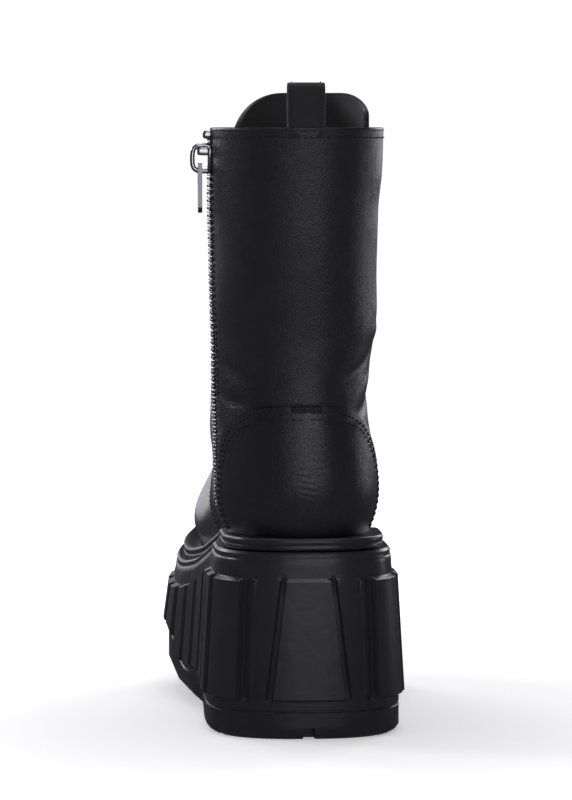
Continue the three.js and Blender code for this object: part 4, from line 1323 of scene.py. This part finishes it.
def build_camera():
    """Camera at the height of the collar, behind the heel and a little to the inner side."""
    distance, height, azimuth = 2200.0, 314.0, math.radians(-4.5)
    right = np.array([math.cos(azimuth), math.sin(azimuth), 0])
    ahead = np.array([-math.sin(azimuth), math.cos(azimuth), 0])
    eye = np.array([0, 0, height]) - ahead * distance
    aim = np.array([0, 0, 171.0]) + right * -11.5
    data = bpy.data.cameras.new("camera")
    data.sensor_width = 36
    data.lens = 198
    bpy.context.scene.camera = aimed("camera", data, place(eye), place(aim))


LIGHT_TINT = (0.945, 0.92, 1.0)
# Soft lights in metres: width and height, place, target, power in watts and colour.
LIGHTS = {
    "side_left": ((0.5, 1.1), (-0.8, 1.35, 0.9), (0, 0, 0.28), 7, LIGHT_TINT),
    "side_right": ((0.5, 1.2), (0.9, 1.3, 0.8), (0, 0, 0.2), 7, LIGHT_TINT),
    "left_glint": ((0.45, 0.4), (-1.3, 0.6, 0.85), (0, 0.1, 0.1), 6, LIGHT_TINT),
    "right_glint": ((0.18, 0.3), (1.15, 0.5, 0.2), (0, 0, 0.12), 0.6, LIGHT_TINT),
    "left_low": ((0.7, 0.35), (-0.35, 1.6, 0.19), (0, 0, 0.12), 0.7, LIGHT_TINT),
    "front": ((0.9, 0.5), (0.35, -1.9, 0.95), (0, 0, 0.05), 3.5, LIGHT_TINT),
    "front_low": ((1.6, 0.5), (0.3, -2.9, 0.3), (0, 0, 0.05), 5.5, LIGHT_TINT),
    "top": ((1.2, 1.2), (0, 0.1, 2.0), (0, 0, 0), 14, (1, 1, 1)),
}


def build_lights():
    for name, (size, location, target, power, color) in LIGHTS.items():
        data = bpy.data.lights.new(name, "AREA")
        data.shape = "RECTANGLE"
        data.size, data.size_y = size
        data.energy = power
        data.color = color
        aimed(name, data, location, target)


def build_floor():
    """Pale floor that glows with painted light, its glow lowered near the boot as a painted shadow round it
    and brightening into the white surroundings away from it.
    """
    mesh = bpy.data.meshes.new("studio_floor")
    bm = bmesh.new()
    bmesh.ops.create_grid(bm, x_segments=8, y_segments=8, size=1.6)
    bm.to_mesh(mesh)
    bm.free()
    floor = bpy.data.objects.new("studio_floor", mesh)
    floor.location.z = ORIGIN.z
    bpy.context.scene.collection.objects.link(floor)
    mat = bpy.data.materials.new("floor_white")
    mat.use_nodes = True
    nodes, links = mat.node_tree.nodes, mat.node_tree.links
    shader = nodes["Principled BSDF"]
    preset(shader, {"Base Color": (0.9, 0.9, 0.905, 1), "Roughness": 0.7, "Emission Color": (1, 1, 1, 1)})
    # Painted light and shade: the floor glows white, and the glow is made weaker close to the boot so that a
    # painted shadow lies round it.
    distance = nodes.new("ShaderNodeVectorMath")
    distance.operation = "LENGTH"
    links.new(nodes.new("ShaderNodeTexCoord").outputs["Object"], distance.inputs[0])
    painted_floor_glow = nodes.new("ShaderNodeMapRange")
    painted_floor_glow.interpolation_type = "SMOOTHSTEP"
    preset(painted_floor_glow, {"From Min": 0.1, "From Max": 0.75, "To Min": 0.39, "To Max": 1.1})
    links.new(distance.outputs["Value"], painted_floor_glow.inputs["Value"])
    links.new(painted_floor_glow.outputs["Result"], shader.inputs["Emission Strength"])
    mesh.materials.append(mat)
    floor.visible_glossy = False


def build_world():
    """Surroundings that show white but give little light."""
    world = bpy.data.worlds.new("studio")
    bpy.context.scene.world = world
    world.use_nodes = True
    nodes, links = world.node_tree.nodes, world.node_tree.links
    shown = nodes["Background"]
    preset(shown, {"Color": (1, 1, 1, 1), "Strength": 1.05})
    around = nodes.new("ShaderNodeBackground")
    preset(around, {"Color": (0.95, 0.97, 1, 1), "Strength": 0.055})
    pick = nodes.new("ShaderNodeMixShader")
    links.new(nodes.new("ShaderNodeLightPath").outputs["Is Camera Ray"], pick.inputs[0])
    links.new(around.outputs[0], pick.inputs[1])
    links.new(shown.outputs[0], pick.inputs[2])
    links.new(pick.outputs[0], nodes["World Output"].inputs["Surface"])
    bpy.context.scene.view_settings.view_transform = "Standard"


build_upper()
build_binding()
build_counter()
build_tongue()
build_sole()
build_midsole()
build_insole()
build_stitches()
build_bartack()
build_zip()
build_slider()
build_loop()
build_eyelets()
build_lace()
build_camera()
build_floor()
build_world()
build_lights()
